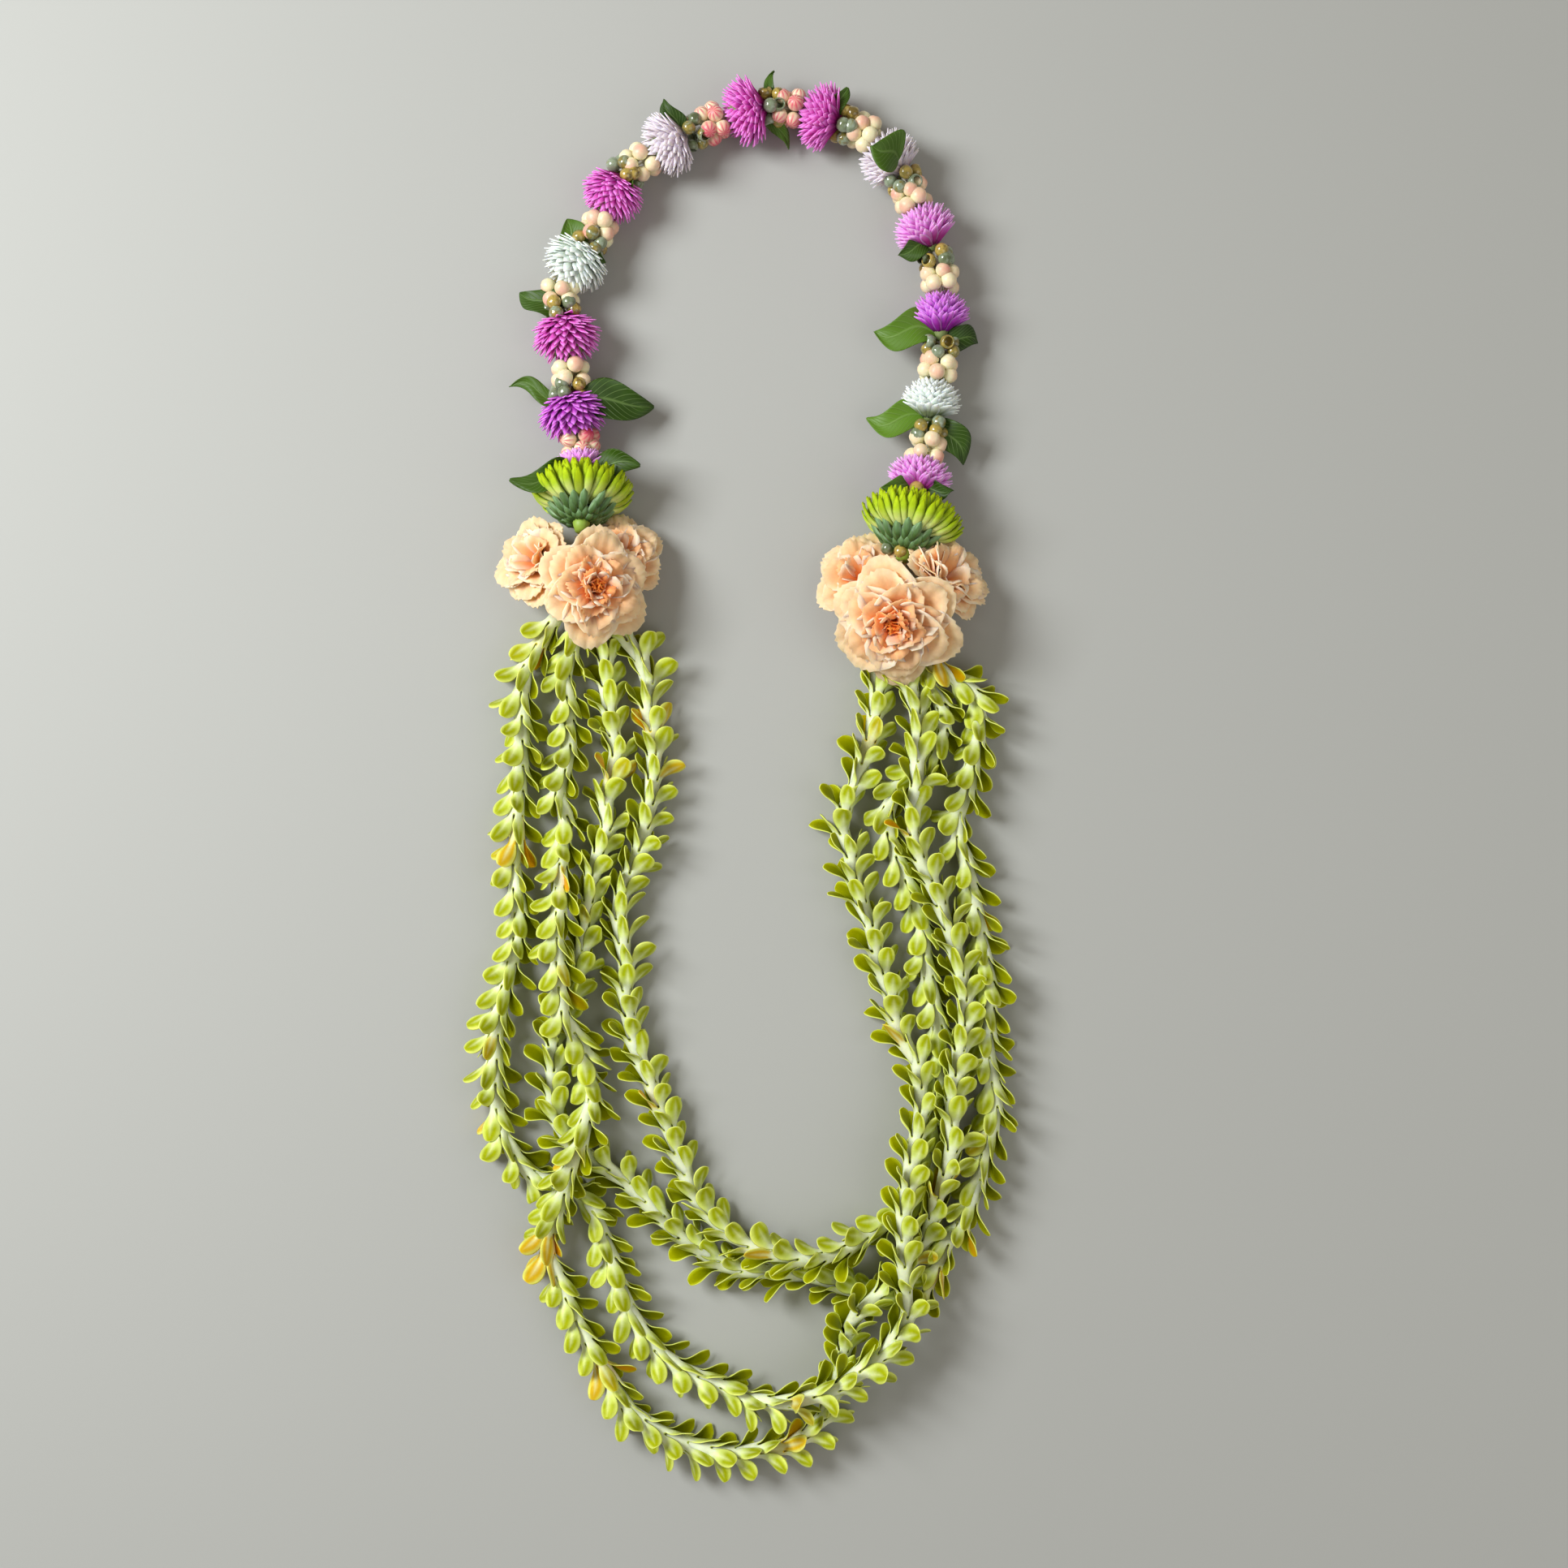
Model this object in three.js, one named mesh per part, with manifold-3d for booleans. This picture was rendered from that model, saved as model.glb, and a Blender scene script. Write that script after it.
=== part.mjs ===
// A fresh flower lei laid flat in an open loop. Millimetres, +Z up, the surface at z = 0,
// the origin on the surface under the middle of the lei, +Y towards the neck.
// The neck arch is strung with globe amaranth heads, berries and olive capsules.
// At each end of the arch sit a button chrysanthemum and three spray carnations,
// and four strands of pakalana blooms hang from them in a U.
import * as THREE from "three";
import { mergeVertices } from "three/addons/utils/BufferGeometryUtils.js";
import Module from "manifold-3d";

const wasm = await Module();
wasm.setup();

// Driving dimensions.
const THREAD = 1.2; // side of the stringing thread's square section
const GAP = 0.3; // clearance between the thread and what is strung on it, and between neighbours
const PITCH = 9.8; // from one pakalana bloom to the next along a strand
const TUBE_R = 2.7; // corner radius of a bloom's tube at its base
const MOUTH_R = 3.3; // and at its mouth
const LOBE = 7.4; // length of a pakalana lobe
const LOBE_TIP = 3.8; // width of its blunt tip
const LOBE_ROOT = 1.2; // thickness where it leaves the mouth
const SPREAD = 42; // degrees between a lobe and its strand
const BERRY_R = 4;
const OLIVE_R = 3.8;
const MUM_R = 18;
const NEIGHBOUR = 30; // heads further apart than this along the neck never touch

// The routes of the strands from the left carnations to the right ones, points chosen by eye.
const ROUTES = {
  outer_left: [
    [-64.4, 59.7, 7], [-75.7, 41.2, 7], [-79.2, 28.7, 7], [-79.8, 12.2, 7], [-80.9, -19.7, 7],
    [-82.1, -32.8, 7], [-80.3, -46.4, 7], [-81.5, -60.3, 7], [-88.2, -91.6, 7], [-88.4, -121.8, 7],
    [-80.9, -139.5, 7], [-73.7, -145, 6.5], [-65, -147.3, 6.5], [-58, -151.4, 6.5], [-53.1, -158.9, 7],
    [-44.7, -182.7, 7], [-35.1, -202.4, 7], [-19.7, -215.2, 7], [-10.4, -218.1, 7], [6.1, -224.7, 10],
    [21.5, -222.7, 15.5], [39.7, -214, 16], [54.8, -201, 14.5], [58.3, -192.3, 16], [56.8, -174.3, 18],
    [57.7, -151.7, 17], [60.9, -132.2, 14], [63.2, -122.7, 13], [62.1, -103.8, 10], [53.6, -88.7, 7],
    [52.5, -80.6, 7], [47.3, -64.7, 7], [46.1, -56, 7], [39.7, -40, 7], [39.1, -31.3, 7],
    [35.1, -15.9, 7], [41.8, -0.3, 7], [47.3, 23.2, 7], [47.6, 48.1, 7],
  ],
  outer_low: [
    [-58.3, 59.7, 11], [-60.9, 44.9, 8], [-64.4, 37.7, 7], [-62.1, 9.9, 7], [-66.1, -5.2, 7],
    [-63.8, -19.1, 8], [-65.2, -32.8, 11], [-64.4, -40, 14], [-66.7, -60.3, 15.5], [-64.7, -73.4, 15.5],
    [-64.1, -86.4, 15.5], [-60.9, -92.2, 14], [-55.4, -106.1, 8.5], [-54.8, -120.6, 9],
    [-59.4, -134.8, 15.5], [-63.5, -147.9, 16], [-69.3, -160.7, 10], [-69.3, -176.3, 7],
    [-65.2, -182.7, 7], [-59.7, -197.2, 7], [-50.2, -212.3, 7], [-40.9, -228.5, 7], [-24.9, -239, 7],
    [-8.7, -243.6, 7], [15.1, -241.6, 7], [27.8, -232, 6.5], [33.6, -218.7, 6], [36, -204.7, 8],
    [39.4, -193.1, 14], [44.1, -189.4, 14.8], [53.4, -182.1, 10], [62.1, -172.8, 7.5], [67.3, -160.4, 9],
    [70.8, -146.7, 13], [74.5, -133.4, 14.5], [73.9, -117.7, 14.5], [77.1, -103.2, 14], [78.9, -87, 12],
    [77.4, -70.5, 10.5], [67.6, -40.6, 12.5], [64.4, -34.8, 12], [60.6, -21.2, 11], [59.4, -14.5, 12.5],
    [62.3, -2.3, 15], [61.5, 4.9, 14], [62.1, 20.9, 9.5], [54.5, 41.8, 11], [53.9, 47.6, 11],
  ],
  outer_right: [
    [-52.5, 59.2, 7], [-49.3, 36.5, 7], [-47.3, 15.1, 7], [-44.1, 9, 7], [-49.9, -10.4, 7],
    [-48.4, -17.4, 7], [-49.6, -24.9, 7], [-52.5, -30.4, 7], [-56.3, -51.6, 7], [-58.6, -69, 7],
    [-67.9, -95.1, 7], [-68.1, -111.1, 7], [-68.4, -119.2, 7], [-62.6, -132.2, 7], [-43.8, -145.3, 7],
    [-34.2, -154.9, 7], [-7, -176.9, 7], [24.4, -180.7, 6.3], [43, -187.5, 5.6], [55, -189.6, 5.8], [65, -185, 6.5],
    [71.3, -172, 7], [78.9, -160.4, 7], [81.2, -153.1, 7], [84.4, -146.7, 7], [85.8, -139.5, 7],
    [90.5, -118.3, 7], [87.3, -96.6, 7], [88.2, -78.3, 7], [83.8, -52.5, 7], [81.5, -38.6, 7],
    [76.3, -18.3, 7], [80.3, -6.7, 7], [83.5, 15.1, 7], [84.7, 25.2, 8], [76, 33.9, 10],
    [70.2, 37.1, 11], [66.7, 47, 11],
  ],
  inner_left: [
    [-46.4, 56.8, 11], [-40.3, 44.7, 9], [-36.5, 39.7, 8], [-33.3, 16.5, 7], [-32.2, 1.2, 7],
    [-37.1, -27, 7], [-45.5, -51, 7], [-42.6, -65.5, 7], [-42, -81.8, 7], [-38.9, -98, 7],
    [-33.1, -111.4, 7], [-21.5, -141.5, 7], [-15.1, -155.4, 7], [-4.1, -165.3, 10], [11.3, -170.8, 13.5],
    [28.1, -172.5, 13], [48.1, -164.1, 7], [63.2, -153.1, 6], [67, -134.3, 6], [70.2, -100.9, 7],
    [69, -85, 7], [65.8, -69, 7], [63.8, -52.5, 7], [55.1, -30.4, 7], [52, -20, 7],
    [51.5, -11, 7], [58.5, -2.5, 6.5], [69.3, 7.8, 7], [72.2, 20.9, 7],
    [65.8, 33.1, 7], [60.3, 47.6, 7],
  ],
};
// Where each strand is parted, as shares of its length, and which way its blooms face.
const STRANDS = [
  { name: "outer_left", parts: [0.3, 0.5, 0.725], toRight: true },
  { name: "outer_low", parts: [0.4, 0.68], toRight: true },
  { name: "outer_right", parts: [0.36, 0.62], toRight: false },
  { name: "inner_left", parts: [0.38, 0.52, 0.66], toRight: false },
];
// The neck thread from the right carnations over the arch to the left ones.
const NECK = [
  [57.7, 58, 8], [58.3, 67.3, 9], [56.8, 76.6, 12.5], [60.3, 89, 15], [62.9, 105.6, 11.5],
  [66.1, 120.1, 10], [66.1, 133.4, 11], [70.2, 146.7, 10], [70.2, 163.6, 11], [69.9, 179.8, 10],
  [64.4, 194.9, 11], [58.6, 208.8, 10], [52.5, 220.4, 11], [41.2, 229.4, 10], [27.3, 233.7, 11.5],
  [16.2, 237.5, 10], [1.2, 236.1, 12], [-12.8, 231.1, 10], [-27.3, 223.9, 12], [-37.7, 217.2, 10],
  [-48.1, 207.1, 11.5], [-51.6, 193.7, 10], [-60.6, 181.5, 12], [-65.5, 171.1, 10.5],
  [-62.6, 155.4, 12.5], [-61.8, 140.9, 10.5], [-61.8, 126.4, 12.5], [-58, 117.2, 10.5],
  [-57.7, 110.2, 12], [-56.8, 99.8, 15], [-57.4, 86.1, 13], [-58.3, 76, 9], [-58.9, 66.7, 8],
];

const MAGENTA = "#c23a86";
const PINK = "#d877a8";
const PALE_PINK = "#e3b9cd";
const PURPLE = "#9c3f94";
const WHITE = "#e6dfd6";
const OLIVE = "#6b6a3a";
const CREAM = "#e6d3b4";

// What the neck thread carries: where along it, how long, how wide, and its colour.
// A head's leaves are the tips of its bracts in the lei's own millimetres, with their widths.
const HEADS = [
  { at: 50.8, long: 15, wide: 22.5, tint: PINK, leaves: [[74, 99, 20, 7], [49, 101, 19, 7]] },
  { at: 78.2, long: 15, wide: 20.5, tint: WHITE, leaves: [[45, 127, 7, 9], [78.5, 111, 8, 8]] },
  { at: 108.1, long: 16, wide: 19.5, tint: MAGENTA, leaves: [[50, 159, 9, 10], [83, 153, 6, 9]] },
  { at: 140.6, long: 17, wide: 21.5, tint: MAGENTA, leaves: [[56, 184, 13, 8]] },
  { at: 168.2, long: 17, wide: 21.5, tint: PALE_PINK, leaves: [[50, 223, 24, 14]] },
  { at: 199.1, long: 15, wide: 23, tint: MAGENTA, leaves: [[37, 243, 15, 6]] },
  { at: 226.3, long: 15, wide: 23.5, tint: MAGENTA, leaves: [[11, 250.5, 10, 6]] },
  { at: 257.7, long: 16, wide: 23, tint: PALE_PINK, leaves: [[-28, 239, 15, 6]] },
  { at: 284.9, long: 17, wide: 21.5, tint: MAGENTA, leaves: [[-39, 205, 14, 8]] },
  { at: 315, long: 18, wide: 22.5, tint: WHITE, leaves: [[-63, 197, 12, 9], [-49, 182, 12, 7]] },
  { at: 342.2, long: 16, wide: 23.5, tint: MAGENTA, leaves: [[-79, 171, 9, 9]] },
  { at: 371.6, long: 17, wide: 24.5, tint: PURPLE, leaves: [[-84, 138, 8, 9], [-32, 131, 8, 11]] },
  { at: 387, long: 10, wide: 17, tint: PALE_PINK, flip: true, leaves: [[-82, 103, 22, 8], [-36, 108, 21, 9]] },
];
const BERRIES = [61.2, 89.5, 121.4, 153, 182.4, 210.2, 238.6, 269, 298.2, 325.6, 354, 379.8];
const OLIVES = [43.2, 68.2, 97.6, 130.2, 160, 190, 218, 248, 276.4, 305, 333, 361.2];

let state = 20261128;
function random() {
  state = (Math.imul(state ^ (state >>> 15), 2246822519) + 3266489917) >>> 0;
  return ((state ^ (state >>> 13)) >>> 0) / 4294967296;
}
const spread = (amount) => (random() * 2 - 1) * amount;
const degrees = THREE.MathUtils.degToRad;
const vector = (list) => new THREE.Vector3(list[0], list[1], list[2]);

// Solids: triangles to a manifold, joins, cuts, and back to a mesh.
function solidOf(geometry) {
  const bare = new THREE.BufferGeometry();
  bare.setAttribute("position", geometry.getAttribute("position"));
  bare.setIndex(geometry.index);
  const merged = mergeVertices(bare, 1e-3);
  return new wasm.Manifold(
    new wasm.Mesh({
      numProp: 3,
      vertProperties: merged.attributes.position.array,
      triVerts: new Uint32Array(merged.index.array),
    }),
  );
}
const join = (solids) => solids.reduce((whole, solid) => whole.add(solid));
const cut = (solid, tools) => tools.reduce((left, tool) => left.subtract(tool), solid);
function largest(solid) {
  const bodies = solid.decompose();
  return bodies.reduce((most, body) => (body.volume() > most.volume() ? body : most));
}

// A closed shell from rings of points, with a fan or a point at either end.
class Shell {
  constructor() {
    this.points = [];
    this.faces = [];
  }

  add(points) {
    const first = this.points.length;
    this.points.push(...points);
    return points.map((_, i) => first + i);
  }

  face(a, b, c) {
    this.faces.push(a, b, c);
  }

  // Triangles between two rings that turn anticlockwise seen from the far end.
  band(near, far) {
    near.forEach((a, i) => {
      const j = (i + 1) % near.length;
      this.face(a, near[j], far[i]);
      this.face(near[j], far[j], far[i]);
    });
  }

  fan(ring, point, faceBack) {
    const [tip] = this.add([point]);
    ring.forEach((a, i) => {
      const b = ring[(i + 1) % ring.length];
      if (faceBack) this.face(b, a, tip);
      else this.face(a, b, tip);
    });
  }

  solid() {
    const geometry = new THREE.BufferGeometry().setFromPoints(this.points);
    geometry.setIndex(this.faces);
    return solidOf(geometry);
  }
}

// A place on a route: its point, the way along, and the sideways and upward directions.
function placeAt(point, along) {
  const forward = along.clone().normalize();
  const reference = Math.abs(forward.z) > 0.95 ? new THREE.Vector3(0, -1, 0) : new THREE.Vector3(0, 0, 1);
  const side = reference.clone().cross(forward).normalize();
  const up = forward.clone().cross(side);
  return { point: point.clone(), forward, side, up };
}
function around(place, radius, angle, ahead = 0) {
  return place.point
    .clone()
    .addScaledVector(place.forward, ahead)
    .addScaledVector(place.side, radius * Math.cos(angle))
    .addScaledVector(place.up, radius * Math.sin(angle));
}
const square = (place, half, ahead = 0) =>
  [1, 3, 5, 7].map((eighth) => around(place, half * Math.SQRT2, (eighth * Math.PI) / 4, ahead));

// Sixteen short chords to each span of a smooth curve, with the length up to each point.
function routeOf(list) {
  const curve = new THREE.CatmullRomCurve3(list.map(vector), false, "centripetal");
  const points = curve.getPoints((list.length - 1) * 16);
  const lengths = [0];
  for (let i = 1; i < points.length; i++) {
    lengths.push(lengths[i - 1] + points[i].distanceTo(points[i - 1]));
  }
  return { points, lengths, length: lengths.at(-1) };
}
function pointOn(route, distance) {
  const next = Math.min(
    route.points.length - 1,
    Math.max(1, route.lengths.findIndex((length) => length > distance)),
  );
  const last = distance >= route.length ? route.points.length - 1 : next;
  const share = (distance - route.lengths[last - 1]) / (route.lengths[last] - route.lengths[last - 1]);
  return route.points[last - 1].clone().lerp(route.points[last], THREE.MathUtils.clamp(share, 0, 1));
}
// Straight stretches through a list of points, with a place at each joint.
function placesAt(points) {
  return points.map((point, i) => {
    const before = points[Math.max(0, i - 1)];
    const after = points[Math.min(points.length - 1, i + 1)];
    return placeAt(point, after.clone().sub(before));
  });
}
function beam(places, half) {
  const shell = new Shell();
  const rings = places.map((place) => shell.add(square(place, half)));
  rings.slice(1).forEach((ring, i) => shell.band(rings[i], ring));
  const first = rings[0];
  const last = rings.at(-1);
  shell.face(first[2], first[1], first[0]);
  shell.face(first[3], first[2], first[0]);
  shell.face(last[0], last[1], last[2]);
  shell.face(last[0], last[2], last[3]);
  return shell.solid();
}

// A head with a frilled outline: rings of points that step in and out by turns.
// Each ring gives its radius, its height along the place, and how far its points step out and up.
function frilled(place, columns, base, rings, top, grow = 0) {
  const shell = new Shell();
  const made = rings.map(([radius, height, out = 0, rise = 0], row) =>
    shell.add(
      Array.from({ length: columns }, (_, column) => {
        const sign = (column + row) % 2 ? 1 : -1;
        const angle = (column / columns) * Math.PI * 2;
        const lift = height < (base + top) / 2 ? -grow : grow;
        return around(place, radius + sign * out + grow, angle, height + sign * rise + lift);
      }),
    ),
  );
  shell.fan(made[0], around(place, 0, 0, base - grow), true);
  made.slice(1).forEach((ring, i) => shell.band(made[i], ring));
  shell.fan(made.at(-1), around(place, 0, 0, top + grow), false);
  return shell.solid();
}

// A leaf from a root to a tip: four-cornered sections with sharp edges and a raised rib.
function leaf(root, tip, width, arch, thick = 1.1) {
  const shell = new Shell();
  const along = tip.clone().sub(root);
  const flat = new THREE.Vector3(0, 0, 1).cross(along).normalize();
  const up = along.clone().cross(flat).normalize();
  const sections = [[0, 0.4], [0.6, 1]].map(([share, size]) => {
    const centre = root.clone().lerp(tip, share).addScaledVector(up, arch * Math.sin(share * Math.PI));
    return shell.add([
      centre.clone().addScaledVector(flat, (size * width) / 2).addScaledVector(up, 0.5),
      centre.clone().addScaledVector(up, thick / 2),
      centre.clone().addScaledVector(flat, (-size * width) / 2).addScaledVector(up, 0.5),
      centre.clone().addScaledVector(up, -thick / 2 - 0.4),
    ]);
  });
  shell.fan(sections[0], root.clone().addScaledVector(along, -0.05), true);
  sections.slice(1).forEach((ring, i) => shell.band(sections[i], ring));
  shell.fan(sections.at(-1), tip, false);
  return shell.solid();
}

// The strands' and the neck's threads, as stretches between stations.
const strands = STRANDS.map(({ name, parts, toRight }) => {
  const list = toRight ? ROUTES[name] : [...ROUTES[name]].reverse();
  const route = routeOf(list);
  const pairs = Math.round((route.length - PITCH) / PITCH / 2);
  const step = (route.length - PITCH) / pairs;
  const stations = Array.from({ length: pairs + 1 }, (_, i) => pointOn(route, i * step));
  const shares = toRight ? parts : parts.map((share) => 1 - share).reverse();
  const ends = [0, ...shares.map((share) => Math.round(share * pairs)), pairs];
  const end = pointOn(route, route.length);
  const path = stations.map((point, i) => new THREE.Line3(point, stations[i + 1] ?? end));
  return { name, toRight, stations, ends, end, path };
});

const neck = routeOf(NECK);
const slots = [
  { kind: "mum", side: "right", at: 32.7, half: 9 },
  ...HEADS.map((head, i) => ({ kind: "head", index: i, at: head.at, half: head.long / 2 })),
  ...BERRIES.map((at, i) => ({ kind: "berries", index: i, at, half: 3.2 })),
  ...OLIVES.map((at, i) => ({ kind: "olives", index: i, at, half: 3.4 })),
  { kind: "mum", side: "left", at: 403, half: 9 },
].sort((a, b) => a.at - b.at);
slots.forEach((slot, i) => {
  const next = slots[i + 1];
  slot.from = i ? slots[i - 1].to : slot.at - slot.half;
  slot.to = next ? slot.at + ((next.at - slot.at) * slot.half) / (slot.half + next.half) : slot.at + slot.half;
  const start = pointOn(neck, slot.from);
  const stop = pointOn(neck, slot.to);
  slot.place = placeAt(start.clone().lerp(stop, 0.5), stop.clone().sub(start));
  slot.long = stop.distanceTo(start);
});
const neckPoints = [
  pointOn(neck, 0),
  pointOn(neck, 12),
  ...slots.map((slot) => pointOn(neck, slot.from)),
  pointOn(neck, slots.at(-1).to),
  pointOn(neck, neck.length - 10),
  pointOn(neck, neck.length),
];
const knots = { right: neckPoints[0], left: neckPoints.at(-1) };

// Pakalana lobes keep to their own side of the space between two strands,
// and stay low under the carnations.
const MIN_SPREAD = 22;
const CLEAR = 0.35;
const CANOPY = { reach: 27, z: 14.5 };
const canopies = [
  { x: knots.left.x + 4, y: knots.left.y + 2 },
  { x: knots.right.x - 4, y: knots.right.y },
];
function distanceTo({ path }, point) {
  const nearest = new THREE.Vector3();
  return Math.min(...path.map((line) => line.closestPointToPoint(point, true, nearest).distanceTo(point)));
}
function isClear(strand, point, least) {
  if (point.z < 0.1) return false;
  const isUnder = canopies.some(({ x, y }) => Math.hypot(point.x - x, point.y - y) < CANOPY.reach);
  if (isUnder && point.z > CANOPY.z) return false;
  const own = distanceTo(strand, point);
  return own > least && strands.every((other) => other === strand || distanceTo(other, point) > own + 2 * CLEAR);
}
// The two corners of a lobe's tip: it lies closer, and is then cut shorter, until it is clear.
function lobeTip(strand, place, middle) {
  const root = MOUTH_R * Math.SQRT1_2;
  const skew = spread(0.7);
  const start = SPREAD + spread(9);
  for (let length = LOBE; length > 2; length -= 0.9) {
    for (let angle = start; angle >= MIN_SPREAD; angle -= 5) {
      const radius = root + length * Math.sin(degrees(angle));
      const ahead = length * Math.cos(degrees(angle));
      const tips = [-1, 1].map((end) => {
        const shift = (end * Math.min(LOBE_TIP, length)) / 2 + skew;
        return around(place, Math.hypot(radius, shift), middle + Math.atan2(shift, radius), ahead);
      });
      if (tips.every((tip) => isClear(strand, tip, root + 0.32 * length))) return tips;
    }
  }
  return [-1, 1].map((end) => around(place, root + 0.8, middle + end * 0.5, 1.4));
}

// One part of a strand: blooms end to end in one skin, each tube rising from the last bloom's mouth,
// with a straight-sided bore for the thread.
function strandPart(strand, from, to) {
  const shell = new Shell();
  const places = placesAt([...strand.stations, strand.end]);
  let outer = null;
  let bore = null;
  let firstOuter = null;
  let firstBore = null;
  let roll = Math.PI / 4;
  for (let i = from; i < to; i++) {
    const start = strand.stations[i];
    const stop = strand.stations[i + 1];
    const chord = stop.clone().sub(start);
    const pitch = chord.length() / 2;
    for (const half of [0, 1]) {
      const place = placeAt(start.clone().lerp(stop, half / 2), chord);
      const isFirst = i === from && half === 0;
      const isLast = i === to - 1 && half === 1;
      if (isFirst) {
        outer = shell.add([0, 1, 2, 3].map((q) => around(places[i], TUBE_R, roll + (q * Math.PI) / 2, GAP / 2)));
        firstOuter = outer;
        firstBore = shell.add(square(places[i], THREAD / 2 + GAP, GAP / 2));
        bore = firstBore;
      }
      roll += Math.PI / 4;
      const jitter = isLast ? 0 : spread(degrees(7));
      const angles = [0, 1, 2, 3].map((q) => roll + jitter + (q * Math.PI) / 2);
      const mouth = { ...place, point: place.point.clone().addScaledVector(place.forward, pitch - LOBE_ROOT) };
      const mouthRing = shell.add(angles.map((angle) => around(mouth, MOUTH_R, angle)));
      shell.band(outer, mouthRing);
      const baseAt = half ? places[i + 1] : { ...place, point: start.clone().lerp(stop, 0.5) };
      const next = shell.add(angles.map((angle) => around(baseAt, TUBE_R, angle, isLast ? -GAP / 2 : 0)));
      angles.forEach((angle, q) => {
        const r = (q + 1) % 4;
        const [a, b] = shell.add(lobeTip(strand, mouth, angle + Math.PI / 4));
        shell.face(mouthRing[q], mouthRing[r], b);
        shell.face(mouthRing[q], b, a);
        shell.face(a, b, next[r]);
        shell.face(a, next[r], next[q]);
        shell.face(mouthRing[r], next[r], b);
        shell.face(mouthRing[q], a, next[q]);
      });
      outer = next;
    }
    const far = shell.add(square(places[i + 1], THREAD / 2 + GAP, i === to - 1 ? -GAP / 2 : 0));
    far.forEach((c, q) => {
      const r = (q + 1) % 4;
      shell.face(bore[q], c, bore[r]);
      shell.face(bore[r], c, far[r]);
    });
    bore = far;
  }
  const turns = Math.round((roll - Math.PI / 4) / (Math.PI / 2)) % 4;
  [0, 1, 2, 3].forEach((q) => {
    const r = (q + 1) % 4;
    shell.face(firstOuter[r], firstOuter[q], firstBore[q]);
    shell.face(firstOuter[r], firstBore[q], firstBore[r]);
    const near = bore[(q + turns) % 4];
    const far = bore[(r + turns) % 4];
    shell.face(outer[q], outer[r], near);
    shell.face(outer[r], far, near);
  });
  return shell.solid();
}

const box = (width, depth, height, x, y, z) =>
  solidOf(new THREE.BoxGeometry(width, depth, height).translate(x, y, z));
const GROUND = box(900, 900, 60, 0, 0, -30);

// The strung things of the neck. Each takes how much to grow, for cutting its neighbours clear.
// A ring of balls pressed together round the thread: a closed section swept round it,
// full at each ball and drawn in between two, and turned to a different start on each ring.
function ballsOn({ place, long }, count, radius, grow) {
  const bore = THREAD + GAP;
  const reach = 1.5 * radius;
  const half = (long - GAP) / 2 + grow;
  const sections = [
    { full: [bore, -half * 0.4], drawn: [bore, -half * 0.4] },
    { full: [reach * 0.85, -half], drawn: [reach * 0.7, -half * 0.45] },
    { full: [reach + radius + grow, 0], drawn: [reach + grow, 0] },
    { full: [reach * 0.85, half], drawn: [reach * 0.7, half * 0.45] },
    { full: [bore, half * 0.4], drawn: [bore, half * 0.4] },
  ];
  const shell = new Shell();
  const rings = sections.map(({ full, drawn }) =>
    shell.add(
      Array.from({ length: 3 * count }, (_, i) => {
        const [r, ahead] = i % 3 ? full : drawn;
        const ball = Math.floor(i / 3) + [0, 0.28, 0.72][i % 3];
        return around(place, r, place.point.x + (ball / count) * Math.PI * 2, ahead);
      }),
    ),
  );
  rings.forEach((ring, i) => shell.band(ring, rings[(i + 1) % rings.length]));
  return shell.solid();
}
const berries = (slot, grow = 0) => ballsOn(slot, 5, BERRY_R, grow);
const olives = (slot, grow = 0) => ballsOn(slot, 4, OLIVE_R, grow);

function globeAmaranth(slot, grow = 0) {
  const head = HEADS[slot.index];
  const forward = head.flip ? slot.place.forward.clone().negate() : slot.place.forward;
  const place = placeAt(slot.place.point, forward);
  const r = head.wide / 2 - 0.8;
  const l = slot.long - GAP;
  const rings = [
    [r * 0.5, -l * 0.47, 0.3, 0],
    [r * 0.9, -l * 0.26, 0.9, 0.8],
    [r, 0, 0.9, 1.3],
    [r * 0.86, l * 0.24, 0.8, 1.2],
    [r * 0.5, l * 0.42, 0.6, 0.5],
  ];
  return frilled(place, 12, -l * 0.5, rings, l * 0.5, grow);
}
function bracts(slot) {
  const head = HEADS[slot.index];
  const back = head.flip ? 0.35 : -0.35;
  const root = around(slot.place, 0, 0, head.long * back);
  return head.leaves.map(([x, y, z, width]) => {
    const tip = new THREE.Vector3(x, y, z);
    const start = root.clone().lerp(tip, 0.2);
    return leaf(start, tip, width, 2);
  });
}
function buttonMum(slot, grow = 0) {
  const opening = slot.side === "left" ? slot.place.forward.clone().negate() : slot.place.forward;
  const place = placeAt(slot.place.point, opening);
  const rings = [
    [5.5, -10.5, 0.5, 0],
    [10.5, -7, 1, 1],
    [14.5, -1.5, 1, 1.2],
    [MUM_R - 1.2, 5, 1.2, 1.6],
    [MUM_R - 5, 4.5, 0.8, 1.2],
    [MUM_R - 6, 9, 1, 1.6],
    [6, 6.5, 0.8, 0.8],
  ];
  return frilled(place, 16, -11.5, rings, 5, grow);
}

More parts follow.
